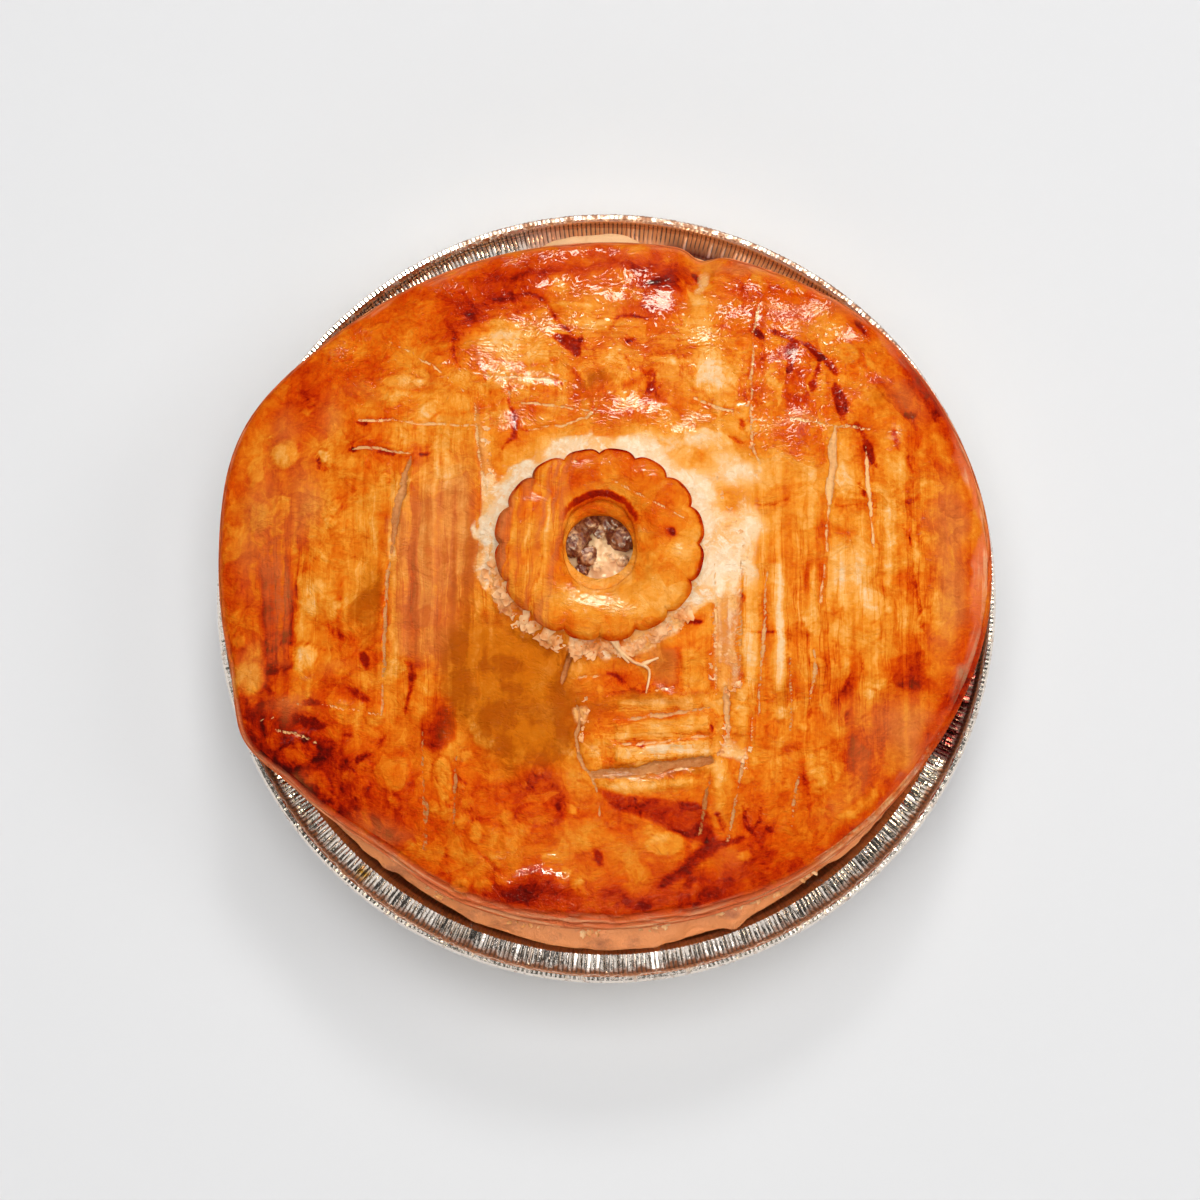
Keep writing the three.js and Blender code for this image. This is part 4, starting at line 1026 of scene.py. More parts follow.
def inside_of(x, y, corners):
    """How far inside a many-cornered patch each point lies, negative outside."""
    closed = tuple(corners) + (corners[0],)
    off, _, _ = off_line(x, y, closed)
    within = np.zeros(x.shape, bool)
    for (ax, ay), (bx, by) in zip(closed[:-1], closed[1:]):
        if ay != by:
            within ^= ((ay > y) != (by > y)) & (x < (bx - ax) * (y - ay) / (by - ay) + ax)
    return np.where(within, off, -off)


def patches(x, y, places):
    """The sum of soft oval patches."""
    total = np.zeros_like(x)
    for px, py, across, deep, amount in places:
        total += amount * np.exp(-(((x - px) / across) ** 2 + ((y - py) / deep) ** 2))
    return total


def brush_lines():
    """Seeded strokes of the wash brush: along the sides front to back, and across at the back."""
    stroke = np.random.default_rng(29)
    lines = []
    for _ in range(60):
        x = stroke.choice((-1, 1)) * stroke.uniform(38, 96)
        y = stroke.uniform(-52, 44)
        length = stroke.uniform(10, 34)
        lean = 0.10 * np.sign(x) * stroke.uniform(-1, 1.5)
        bend = stroke.uniform(-1.5, 1.5)
        path = ((x, y), (x + lean * length / 2 + bend, y - length / 2), (x + lean * length, y - length))
        lines.append((path, stroke.uniform(0.6, 1.8), stroke.choice((-0.10, 0.06, 0.10))))
    for _ in range(30):
        x = stroke.uniform(-50, 55)
        y = stroke.uniform(45, 92)
        length = stroke.uniform(8, 22)
        path = ((x, y), (x + length / 2, y + stroke.uniform(-2, 3)),
                (x + length, y + stroke.uniform(-4, 4)))
        lines.append((path, stroke.uniform(0.6, 1.5), stroke.choice((-0.10, 0.08, 0.12))))
    return lines


def bubbles():
    """Seeded small blisters of the dough, most of them to the left and in front."""
    rising = np.random.default_rng(17)
    found = []
    for _ in range(330):
        toward = math.radians(rising.choice((200, 240, 275, 320, 150, 60)) + rising.normal(0, 24))
        out = rising.uniform(0.5, 0.97) * float(lid_reach(np.array(toward)))
        size = rising.uniform(0.8, 2.6)
        found.append((VENT_X + out * math.cos(toward), VENT_Y + out * math.sin(toward),
                      size, size * rising.uniform(0.7, 1.3), rising.uniform(-0.13, 0.03)))
    return found


def strayed(x, y, broad, small, seed):
    """Places moved about by broad and by small random hills, each with a reach and a size."""
    moved = []
    for start, first in ((x, seed), (y, seed + 2)):
        waves = broad[0] * mottle(x, y, broad[1], first)
        moved.append(start + waves + small[0] * mottle(x, y, small[1], first + 1))
    return moved


def knife_cuts(x, y):
    """How far inside a cut each point lies, the tone there, and the grooves and raised lips of the cuts."""
    inside = np.full_like(x, -3.0)
    tone = np.zeros_like(x)
    groove = np.zeros_like(x)
    lips = np.zeros_like(x)
    for number, (through, width, depth, shade) in enumerate(CUTS):
        off, along, length = off_line(x, y, through)
        width = width * (THIN_CUT_CLOSES if width < THIN_CUT else 1.0)
        ragged = 0.5 * mottle(along, 0 * along, 3.0, 200 + number)
        ragged += 0.2 * mottle(along, off, 1.6, 300 + number)
        closing = (0.5 if width < 1.7 else 0.2) * mottle(along, 0 * along, 6.0, 400 + number)
        taper = 0.12 if width > 2.5 else 0.35
        opening = width / 2 * np.sin(np.pi * np.clip(along / length, 0.03, 0.97)) ** taper * (1 + closing)
        opening += min(0.35, 0.3 * width) * ragged
        within = opening - off
        tone = np.where(within > inside, shade, tone)
        inside = np.maximum(inside, within)
        groove = np.maximum(groove, depth * smoothstep(within, -0.5, 0.7))
        lip = smoothstep(within, -2.4, -0.5) * smoothstep(within, 0.2, -0.4)
        lips = np.maximum(lips, 0.45 * depth * lip)
    return inside, tone, groove, lips


def raised_bars(x, y):
    """How high the bars of dough stand, and how far each point is on top of one."""
    height = np.zeros_like(x)
    tops = np.zeros_like(x)
    for through, half, rise in BARS:
        off, along, length = off_line(x, y, through)
        ends = smoothstep(along, -0.1, 1.0) * smoothstep(along, length + 0.1, length - 1.0)
        height = np.maximum(height, rise * smoothstep(off, half, half - 0.9) * ends)
        tops = np.maximum(tops, smoothstep(off, half - 0.3, half - 1.6) * ends * min(1, rise))
    return height, tops


def torn_leaves(x, y):
    """How much more the leaves of dough baked, most along their edges, and how bare and dull they are."""
    bake = np.zeros_like(x)
    bare = np.zeros_like(x)
    dull = np.zeros_like(x)
    for corners, more, bareness, dullness in LEAVES:
        depth = inside_of(x, y, corners)
        covered = np.clip(0.5 + depth / 1.1, 0, 1)
        bake += more * covered + 0.10 * np.exp(-((depth / 0.5) ** 2))
        bare = np.maximum(bare, bareness * covered)
        dull = np.maximum(dull, dullness * covered)
    return bake, bare, dull


def scorch_marks(x, y):
    """How scorched each point is, and how near to a scorch it lies."""
    scorch = np.zeros_like(x)
    halo = np.zeros_like(x)
    for number, (through, width, strength) in enumerate(SCORCHES):
        off, along, length = off_line(x, y, through)
        bulge = 0.6 + 0.4 * np.sin(np.pi * along / length)
        half = width / 2 * bulge * (1 + 0.35 * mottle(along, 0 * along, 3.0, 500 + number))
        scorch = np.maximum(scorch, strength * np.clip(0.55 + (half - off) / 2.0, 0, 1))
        halo = np.maximum(halo, strength * smoothstep(off - half, 4.0, 0.0))
    return scorch, halo


def brush_marks(x, y):
    """How much more or less the lid baked under single strokes of wash."""
    more = np.zeros_like(x)
    for through, width, amount in STROKES + tuple(brush_lines()):
        off, along, length = off_line(x, y, through)
        taper = np.sin(np.pi * np.clip(along / length, 0, 0.99)) ** 0.5
        more += amount * smoothstep(off, width, 0.1) * taper
    return more


def risen_blisters(x, y):
    """How high the blisters stand, and how much more or less they baked, browner round their feet."""
    height = np.zeros_like(x)
    bake = np.zeros_like(x)
    for middle_x, middle_y, across, deep, amount in BLISTERS + tuple(bubbles()):
        close = 1 - ((x - middle_x) / across) ** 2 - ((y - middle_y) / deep) ** 2
        foot = smoothstep(close, -0.35, 0.0) * smoothstep(close, 0.3, 0.05)
        height = np.maximum(height, min(across, deep) * 0.16 * np.clip(close, 0, 1) ** 0.6)
        bake += amount * smoothstep(close, 0.0, 0.45) + 0.09 * foot
    return height, bake


def lid_sheet():
    """The lid from the vent out over the dome, down its layered edge and back underneath."""
    angle = sectors(LID_SECTORS)
    reach = lid_reach(angle)
    shoulder = reach - LID_EDGE_INSETS[-1]
    hidden = [stop * np.ones_like(angle) for stop in np.linspace(VENT_RADIUS, UNDER_RING, 5)[:-1]]
    shown = [UNDER_RING + (shoulder - UNDER_RING) * part for part in np.linspace(0, 1, LID_ROWS)]
    away = np.stack(hidden + shown, axis=-1)
    turn = angle[:, None] * np.ones_like(away)
    x, y = around_vent(turn, away)
    share = away / reach[:, None]
    ring = oval_radius(RING_HALF, turn)
    clear = smoothstep(away, ring - 3, ring + 1)
    past_ring = smoothstep(away, ring - 8, ring - 4)
    in_front = smoothstep(np.sin(turn + 0.35), -0.15, -0.6)
    at_back = smoothstep(y, 30, 60)

    # The same places strayed: widely for patches, finely for cuts, and in between for the rest
    wide_x, wide_y = strayed(x, y, (2.6, 9), (1.1, 3.4), 1)
    fine_x, fine_y = strayed(x, y, (0.40, 4), (0.15, 1.6), 5)
    stray_x = wide_x * 0.4 + x * 0.6
    stray_y = wide_y * 0.4 + y * 0.6
    cut, tone, groove, lips = knife_cuts(fine_x, fine_y)
    bars, bar_tops = raised_bars(fine_x, fine_y)
    leaf_bake, leaf_bare, leaf_dull = torn_leaves(wide_x * 0.3 + fine_x * 0.7, wide_y * 0.3 + fine_y * 0.7)
    scorch, halo = scorch_marks(stray_x, stray_y)
    blister, blister_bake = risen_blisters(stray_x, stray_y)

    swell = 0.8 * mottle(x, y, 22, 10) + 0.45 * mottle(x, y, 10, 11) + 0.22 * mottle(x, y, 4.5, 12)
    folds = at_back * clear * (0.34 * mottle(x / 2.6, y, 4.6, 25) + 0.22 * mottle(x / 2.6, y, 2.3, 26))
    flaky = in_front * smoothstep(away + 1.6 * mottle(x, y, 4.0, 13), ring + 7, ring + 3)
    terrace = np.floor(away * 0.9 + 1.8 * mottle(x, y, 4.0, 14) + 0.8 * mottle(x, y, 1.6, 15)) % 3
    z = lid_top(x, y) + (swell * clear + folds) * smoothstep(share, 1.0, 0.9) + (lips - groove) * clear
    z += bars * clear + blister * clear + flaky * clear * (0.5 * terrace - 0.6) - 0.35 * scorch

    band = away + 2.6 * mottle(x, y, 6.0, 9) + 1.3 * mottle(x, y, 2.2, 19)
    width = 0.5 + 1.6 * bell(turn, 70, 40) + 2.0 * bell(turn, 12, 32) + 0.5 * bell(turn, 130, 30)
    collar = 0.95 * smoothstep(band, ring + 5.0 + 2.6 * width, ring + 0.6 * width) * (1 - in_front)
    pale = (collar + 0.75 * flaky * (0.6 + 0.4 * mottle(x, y, 3.0, 28))) * past_ring
    pale += patches(wide_x, wide_y, BARE_PATCHES) + leaf_bare
    bake = 0.40 + 0.12 * smoothstep(share, 0.6, 0.97) + patches(wide_x, wide_y, BAKED_PATCHES)
    bake += brush_marks(fine_x, fine_y) + blister_bake + leaf_bake + 0.08 * halo - 0.24 * bar_tops
    for size, seed, amount in ((14, 20, 0.06), (7, 16, 0.06), (3, 17, 0.04)):
        bake += amount * mottle(wide_x, wide_y, size, seed)
    bake -= 0.16 * smoothstep(band, ring + 13, ring + 3) * (1 - in_front) * (1 - 0.7 * bell(turn, 170, 40))
    outer = share + 0.012 * mottle(x, y, 6, 31) + 0.008 * mottle(x, y, 2.4, 32)
    bake += 0.22 * bells(turn, DARK_RIMS) * smoothstep(outer, 0.945, 0.98)
    bake = np.maximum(bake, 0.13 + 0.4 * np.clip(bake, -0.2, 0.13))
    bake = np.where(away < 14, 0.37 + 0.16 * np.sin(turn), bake)
    # Painted sheen: a pink band on the rim's top, strongest to the right and at the back, where the lamps
    # glance off the rim
    sheen_toward = 0.15 + 0.65 * bell(turn, 8, 22) * (1 - 0.85 * bell(turn, 27, 11)) + 0.35 * bell(turn, 70, 40)
    sheen_toward += 0.25 * bell(turn, 130, 25) + 0.15 * bell(turn, -35, 22)
    rim_start = 0.972 - 0.035 * bell(turn, 5, 45) - 0.02 * bell(turn, 110, 30)
    rim = share + 0.022 * mottle(x, y, 8, 27) + 0.01 * mottle(x, y, 3, 30)
    rim_sheen = smoothstep(rim, rim_start, rim_start + 0.03) * sheen_toward

    heights = np.linspace(1, 0, EDGE_ROWS + 1)[1:]
    inset = np.interp(heights, LID_EDGE_HEIGHTS, LID_EDGE_INSETS)
    edge_turn = angle[:, None] * np.ones(EDGE_ROWS)
    around = edge_turn * 100
    down = heights * 5 + 0 * edge_turn
    wander = 0.4 * mottle(around, down, 14, 18) + 0.3 * mottle(around, down, 4, 29)
    layered = (LAYERS * heights + wander) % 1
    # Gaps between the edge's layers, pushed in and painted with shade
    gap = smoothstep(layered, 0.45, 0.75) * smoothstep(layered, 1.0, 0.85)
    opened = 0.3 + 0.6 * bell(edge_turn, -95, 60)
    edge_away = reach[:, None] - inset + front_flare(angle)[:, None] * (1 - heights) - opened * gap
    edge_x, edge_y = around_vent(edge_turn, edge_away)
    underside = dome(edge_x, edge_y) - LID_THICKNESS
    edge_z = underside + (z[:, -1:] - underside) * heights

    foot = edge_away[:, -1:]
    back = foot + (VENT_RADIUS - foot) * np.linspace(0, 1, 6)[1:]
    back_turn = angle[:, None] * np.ones(back.shape[1])
    back_x, back_y = around_vent(back_turn, back)
    back_z = dome(back_x, back_y) - LID_THICKNESS

    mesh = turned("lid", np.hstack([x, edge_x, back_x]), np.hstack([y, edge_y, back_y]),
                  np.hstack([z, edge_z, back_z]), False)
    right_front = bell(edge_turn, -20, 26)
    edge_bake = bake[:, -1:] * heights ** 2 + (0.5 + 0.2 * right_front) * (1 - heights ** 2)
    # Painted highlight: pale streaks high on the edge at the front right
    edge_highlight = 0.45 * bell(edge_turn, -42, 26) * smoothstep(heights, 0.2, 0.6)
    # Down its side the edge takes its own pink and cream, below the painted sheen carried over from the rim
    edge_side = rim_sheen[:, -1:] + (1 - rim_sheen[:, -1:]) * (1 - heights ** 3)
    edge_side = edge_side * (1 - 0.65 * right_front)
    soak = patches(wide_x, wide_y, SOAKED_PATCHES)
    dull = patches(wide_x, wide_y, DULL_PATCHES) + leaf_dull
    gloss = 0.06 + patches(x, wide_y, GLOSSY_PATCHES)
    wall = np.ones_like(edge_x)
    plain = np.zeros_like(back_x)
    for layer, top, edge, under in (
        ("bake", bake, edge_bake, 0.3),
        ("cut", np.clip(0.5 + cut / 2.4, 0, 1) * clear, 0, 0),
        ("tone", tone, 0, 0),
        ("scorch", scorch, 0, 0),
        # Bare dough, and the painted highlight on the edge at the front right
        ("pale", np.clip(pale, 0, 1), edge_highlight, 0),
        ("soak", np.clip(soak, 0, 1), 0, 0),
        ("gloss", np.clip(gloss, 0, 1.2), 0, 0),
        ("grain", np.clip(patches(x, y, CROSSWISE_ZONES), 0, 1), 1, 0),
        ("dull", np.clip(dull, 0, 1), 0, 0),
        ("streaky", np.clip(0.12 + patches(x, y, STREAKY_ZONES), 0, 1), 0.3, 0),
        # The rim's painted sheen on top, and the edge's own colour down its side
        ("side", rim_sheen, edge_side, smoothstep(back, VENT_RADIUS, VENT_RADIUS + 1)),
        # Painted shade in the gaps between the edge's layers
        ("layer", 0 * x, gap, 0),
        ("uneven", 1.35 + patches(x, y, UNEVEN_ZONES), 1.0, 0.5),
    ):
        note(mesh, layer, np.hstack([top, edge * wall, under + plain]))
    return mesh


# How the egg-washed pastry changes colour as it bakes, from cream to burnt
BAKING = (
    (0.00, (0.93, 0.60, 0.32, 1)), (0.15, (0.95, 0.42, 0.090, 1)), (0.30, (0.87, 0.29, 0.022, 1)),
    (0.45, (0.79, 0.17, 0.0060, 1)), (0.58, (0.71, 0.090, 0.0020, 1)), (0.70, (0.60, 0.043, 0.0010, 1)),
    (0.81, (0.44, 0.016, 0.0010, 1)), (0.91, (0.22, 0.0055, 0.0015, 1)), (1.00, (0.08, 0.0040, 0.0024, 1)),
)
PALE_DOUGH = (0.95, 0.66, 0.38, 1)
# Painted highlight: white flecks laid over the bare dough
DOUGH_HIGHLIGHT = (1.0, 0.84, 0.62, 1)
GOLD_DOUGH = (0.95, 0.48, 0.15, 1)
SOAKED_DOUGH = (0.44, 0.083, 0.002, 1)
WET_GOLD = (0.60, 0.142, 0.003, 1)
DULL_TAN = (0.76, 0.25, 0.062, 1)
DULL_BROWN = (0.59, 0.145, 0.030, 1)
SCORCHED = 0.87
# The brown in the cuts is partly the pastry's own and partly painted shade in the groove
CUT_BROWN_AND_SHADE = (0.46, 0.125, 0.020, 1)
CUT_CREAM = (0.94, 0.53, 0.21, 1)
# The lid edge's own pink and cream, also painted on the rim's top as sheen
EDGE_PINK_AND_SHEEN = (0.87, 0.215, 0.080, 1)
EDGE_CREAM_AND_SHEEN = (0.94, 0.46, 0.22, 1)
LAYER_SHADOW = (0.26, 0.040, 0.014, 1)


def egg_washed(name):
    """Pastry under egg wash: baked colours in blotches and brush streaks, bare dough, cuts and scorches."""
    wash = Finish(name)
    here = wash.here
    swirl = place(wash.tree, "ShaderNodeTexNoise", {"Vector": here, "Scale": 95, "Detail": 2})
    drift = place(wash.tree, "ShaderNodeVectorMath", {0: swirl.outputs["Color"], 1: (0.5, 0.5, 0.5)},
                  operation="SUBTRACT")

    def drifted(by):
        sockets = {0: drift, 1: (by, by, 0.0), 2: here}
        return place(wash.tree, "ShaderNodeVectorMath", sockets, operation="MULTIPLY_ADD").outputs[0]

    def middled(value):
        return wash.sum_of(-0.5, value)

    moved = drifted(0.010)
    swept = drifted(0.002)
    blotch = wash.noise(moved, 100, 2.5)
    speck = wash.noise(here, 950, 3, 0.65)
    streaky = wash.noted("streaky")
    fibre = wash.between(wash.noted("grain"), wash.streaks(swept, (330, 14, 60), 4),
                         wash.streaks(swept, (22, 300, 60), 4))
    cells = wash.ramped(wash.noise(moved, 170, 3, 0.55), 0.44, 0.56, -0.5, 0.5)
    spots = wash.ramped(wash.noise(moved, 430, 3, 0.55), 0.44, 0.58, -0.5, 0.5)
    fleck = wash.streaks(moved, (640, 1400, 850), 2)
    layers = place(wash.tree, "ShaderNodeMapping", {"Vector": moved, "Scale": (105, 75, 60)})
    leaf = place(wash.tree, "ShaderNodeTexVoronoi", {"Vector": layers, "Scale": 1.0}).outputs["Color"]
    pebble = place(wash.tree, "ShaderNodeTexVoronoi", {"Vector": moved, "Scale": 300, "Smoothness": 0.4},
                   feature="SMOOTH_F1").outputs["Distance"]
    vein = wash.product(wash.ramped(reckon(wash.tree, "ABSOLUTE", middled(fibre)), 0.020, 0.0), streaky)
    tufts = middled(speck)
    threads = wash.product(middled(fibre), streaky)
    mixed = wash.sum_of(-0.16, blotch, 0.32)
    leaves = middled(leaf)
    for part, strength in ((threads, 0.9), (tufts, 0.20), (cells, 0.05), (spots, 0.03), (leaves, 0.12)):
        mixed = wash.sum_of(mixed, part, strength)
    ragged = wash.product(mixed, wash.noted("uneven"))

    def torn(share, by):
        return wash.product(share, wash.sum_of(1.0, ragged, by))

    # How far each place baked, and so its colour under the wash
    cut = wash.noted("cut")
    baked = wash.sum_of(wash.sum_of(wash.noted("bake"), ragged), wash.ramped(cut, 0.2, 0.45), 0.03)
    baked = wash.sum_of(wash.sum_of(baked, wash.ramped(pebble, 0.15, 0.62, -0.5, 0.5), 0.04), vein, 0.22)
    scorched = wash.ramped(torn(wash.noted("scorch"), 2.0), 0.24, 0.70, 0.0, 0.95)
    baked = wash.between(scorched, baked, wash.sum_of(SCORCHED, ragged, 0.6))
    ramp = place(wash.tree, "ShaderNodeValToRGB", {"Fac": baked})
    while len(ramp.color_ramp.elements) < len(BAKING):
        ramp.color_ramp.elements.new(0.5)
    for stop, (position, shade) in zip(ramp.color_ramp.elements, BAKING):
        stop.position = position
        stop.color = shade

    # What lies over it: dull, soaked and bare places, the inside of the cuts, and the lid's layered edge
    colour = ramp.outputs["Color"]
    dull = wash.blended(wash.ramped(ragged, -0.14, 0.14), DULL_TAN, DULL_BROWN)
    colour = wash.blended(wash.ramped(torn(wash.noted("dull"), 2.0), 0.1, 1.0, 0.0, 0.7), colour, dull)
    wet = wash.blended(wash.ramped(wash.sum_of(blotch, ragged, 1.4), 0.34, 0.66), WET_GOLD, SOAKED_DOUGH)
    colour = wash.blended(wash.ramped(torn(wash.noted("soak"), 1.6), 0.05, 1.0, 0.0, 0.92), colour, wet)
    pale = wash.noted("pale")
    golden = wash.sum_of(wash.sum_of(blotch, tufts, 0.4), pale, -0.25)
    dough = wash.blended(wash.ramped(golden, 0.24, 0.42), PALE_DOUGH, GOLD_DOUGH)
    # Painted highlight: white flecks over the bare dough
    highlight_flecks = wash.sum_of(wash.sum_of(wash.sum_of(0.35, tufts, 0.6), spots, 0.16), pale, 0.3)
    dough = wash.blended(wash.ramped(highlight_flecks, 0.5, 0.85), dough, DOUGH_HIGHLIGHT)
    colour = wash.blended(wash.ramped(torn(pale, 2.6), 0.32, 0.60, 0.0, 0.95), colour, dough)
    # Inside the cuts: a tone from cream to brown, the brown partly the pastry's own and partly painted
    # shade in the groove
    gap = wash.ramped(wash.sum_of(wash.sum_of(cut, tufts, 0.26), spots, 0.10), 0.44, 0.56)
    tone = wash.sum_of(wash.sum_of(wash.noted("tone"), middled(fibre), 0.9), tufts, 0.7)
    colour = wash.blended(gap, colour, wash.blended(tone, CUT_BROWN_AND_SHADE, CUT_CREAM))
    strata = wash.ramped(wash.streaks(here, (60, 60, 1300), 2), 0.47, 0.62)
    # The lid's edge: its own pink and cream strata, painted sheen where they reach the rim's top, and
    # painted shade between its layers
    edge = wash.blended(wash.noted("layer"), wash.blended(strata, EDGE_PINK_AND_SHEEN, EDGE_CREAM_AND_SHEEN), LAYER_SHADOW)
    colour = wash.blended(wash.ramped(torn(wash.noted("side"), 1.8), 0.15, 0.95, 0.0, 0.8), colour, edge)

    # The dried wash, which shines where it lies thick, and the relief of the crumb below it
    shine = wash.sum_of(wash.sum_of(fleck, wash.noted("gloss"), 0.42), ragged, 0.15)
    relief = wash.product(threads, 0.7)
    for part, strength in ((speck, 0.35), (fleck, 0.8), (gap, -0.25), (pebble, -0.4)):
        relief = wash.sum_of(relief, part, strength)
    return wash.done({
        "Base Color": colour,
        "Roughness": 0.5,
        "Specular IOR Level": 0.0,
        "Normal": wash.bumps(relief, 0.9, 0.0009),
        "Coat Weight": wash.ramped(shine, 0.78, 0.84, 0.02, 1.0),
        "Coat Roughness": 0.09,
        "Coat IOR": 1.5,
        "Coat Normal": wash.bumps(fleck, 1.0, 0.0003)})


lid = new_piece("pastry_lid", lid_sheet())
lid.data.materials.append(egg_washed("lid_pastry"))
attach(lid, "root")
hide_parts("lid")

# Vent ring
# A thick ring of pastry stamped out with a fluted cutter, set on the lid round the steam vent and
# brushed with egg. It has risen round the hole into a shallow funnel with red-brown edges.
RING_SECTORS = 640
RING_MOUTH_HALF = (10.6, 13.0)
RING_THICKNESS = 4.4
RING_SEAT = 0.5
FLUTES = 16
FLUTE_DEPTH = 1.6

# Where the ring baked more or less, lies bare, and shines: middle, half widths, and how much. The scratch
# is given by the points it runs through, and the scorch by its middle.
RING_BAKED = (
    (-22, 8, 8, 20, 0.10), (17.6, 10.4, 1.6, 1.6, 0.35), (14, 14, 7, 6, 0.10), (0, 29, 14, 5, 0.06),
    (4, -10, 13, 6, -0.16), (-14, -8, 6, 5, -0.06), (18, 0, 9, 9, 0.08), (0, -15, 20, 3, 0.08),
)
RING_BARE = ((23, 4, 2.2, 4.5, 0.5), (17, -9, 4, 3, 0.25))
RING_SCRATCH = ((-8.9, 30.0), (-0.2, 25.5), (22.5, 13.4))
RING_SCORCH = (17.6, 10.4)
RING_SHINE = (
    (-4.5, -8.2, 6, 2.8, 0.7), (-10.5, -5, 3, 2, 0.65), (4, -10, 6, 2.4, 0.6), (-20, 20, 4, 2.4, 0.6),
    (-6, 29, 8, 1.6, 0.6), (12, 27, 5, 1.6, 0.5), (9, 11, 3, 1.6, 0.6), (20, 6, 4, 2, 0.5),
)


def ring_section(angle):
    """Outer and inner radius of the ring at each angle."""
    flute = 1 - np.abs(np.sin(FLUTES / 2 * angle))
    outer = oval_radius(RING_HALF, angle) - FLUTE_DEPTH * flute ** 2
    worn = 28 * np.cos(angle), 28 * np.sin(angle)
    mouth = oval_radius(RING_MOUTH_HALF, angle) + 0.5 * mottle(*worn, 14, 83) + 0.25 * mottle(*worn, 5, 84)
    return outer + 0.35 * mottle(*worn, 6, 70), mouth


def fluted_ring():
    """The ring from its foot up the fluted edge, over the crown, down the funnel and back underneath."""
    angle = sectors(RING_SECTORS)
    outer, mouth = ring_section(angle)
    flat = np.ones_like(angle)
    middle = (outer + mouth) / 2
    outline = [
        (outer - 0.5, 0.0 * flat),
        (outer, 1.2 * flat),
        (outer, (RING_THICKNESS - 1.6) * flat),
        (outer - 1.5, (RING_THICKNESS - 0.2) * flat),
        (middle + 3, (RING_THICKNESS + 0.5) * flat),
        (mouth + 4.5, (RING_THICKNESS + 0.1) * flat),
        (mouth + 1.0, (RING_THICKNESS - 1.6) * flat),
        (mouth - 0.4, 1.6 * flat),
        (mouth - 0.9, 0.0 * flat),
        (middle, 0.0 * flat),
        (outer - 0.5, 0.0 * flat),
    ]
    radius, height = follow(outline, (4, 5, 6, 12, 14, 10, 8, 4, 2, 2))
    radius = radius[:, :-1]
    height = height[:, :-1]
    for _ in range(2):
        radius = (np.roll(radius, 1, 1) + 2 * radius + np.roll(radius, -1, 1)) / 4
        height = (np.roll(height, 1, 1) + 2 * height + np.roll(height, -1, 1)) / 4
    turn = angle[:, None] * np.ones_like(radius)
    x, y = around_vent(turn, radius)
    on_top = smoothstep(height, 1.5, RING_THICKNESS - 0.3)
    uneven = 0.3 * mottle(x, y, 9, 71) + 0.14 * mottle(x, y, 3.5, 72)
    scratch, _, _ = off_line(x, y, RING_SCRATCH)
    z = lid_top(x, y) + RING_SEAT + height + on_top * (uneven - 0.2 * smoothstep(scratch, 0.7, 0.1))
    mesh = turned("vent_ring", x[:, ::-1], y[:, ::-1], z[:, ::-1], False)

    span = (radius - mouth[:, None]) / (outer - mouth)[:, None]
    stray_x, stray_y = strayed(x, y, (0.9, 4), (0.4, 1.6), 73)
    rim_line = smoothstep(span, 0.90, 0.97) * smoothstep(height, 0.8, 2.4)
    back = smoothstep(np.sin(turn + 0.25), -0.35, 0.3)
    lip = np.exp(-(((span - 0.05) / 0.10) ** 2)) * smoothstep(np.sin(turn), 0.2, 0.8)
    lip = lip * smoothstep(height, 1.2, 2.6)
    leaning = x - 0.16 * (y - VENT_Y) + 0.8 * mottle(x, y, 3, 78)
    left = smoothstep(leaning, -10.0, -13.5)
    lines = mottle(leaning, y / 12, 1.2, 79) + 0.7 * mottle(leaning, y / 9, 0.6, 81)
    inner_wall = smoothstep(height, 3.0, 1.6) * smoothstep(span, 0.35, 0.15)
    bake = 0.35 + 0.12 * rim_line + 0.13 * smoothstep(np.sin(turn), 0.1, 0.9) * smoothstep(span, 0.1, 0.4)
    bake += left * (0.06 + 0.15 * lines) + 0.05 * mottle(stray_x, stray_y, 2.2, 82)
    bake += patches(stray_x, stray_y, RING_BAKED) + 0.09 * mottle(stray_x, stray_y, 5, 77)
    bake += inner_wall * (0.04 + 0.2 * np.sin(turn))
    scorch = np.maximum(rim_line * (0.3 + 0.35 * back), 0.9 * lip)
    spot = np.hypot(stray_x - RING_SCORCH[0], stray_y - RING_SCORCH[1])
    scorch = np.maximum(scorch, 0.85 * smoothstep(spot, 2.6, 0.0))
    pale = 0.9 * smoothstep(height, 1.4, 0.3) * smoothstep(span, 0.5, 0.9)
    pale += patches(stray_x, stray_y, RING_BARE)
    scratched = np.clip(0.44 + (0.25 + 0.22 * mottle(x, y, 3, 80) - scratch) / 2.4, 0, 1) * on_top
    none = np.zeros_like(x)
    for layer, values in (
        ("bake", np.maximum(bake, 0.2)), ("pale", np.clip(pale, 0, 1)), ("soak", none), ("grain", none),
        ("side", none), ("layer", none), ("uneven", 1.2 + none),
        ("dull", np.clip(0.8 * left * (0.6 + 0.5 * lines), 0, 1)), ("streaky", 0.15 + 0.5 * left),
        ("cut", scratched), ("tone", 0.95 + none), ("scorch", scorch),
        ("gloss", np.clip(0.2 + patches(x, y, RING_SHINE), 0, 1.2)),
    ):
        note(mesh, layer, values[:, ::-1])
    return mesh


ring = new_piece("pastry_ring", fluted_ring())
ring.data.materials.append(egg_washed("ring_pastry"))
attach(ring, "root")
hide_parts("vent_ring")

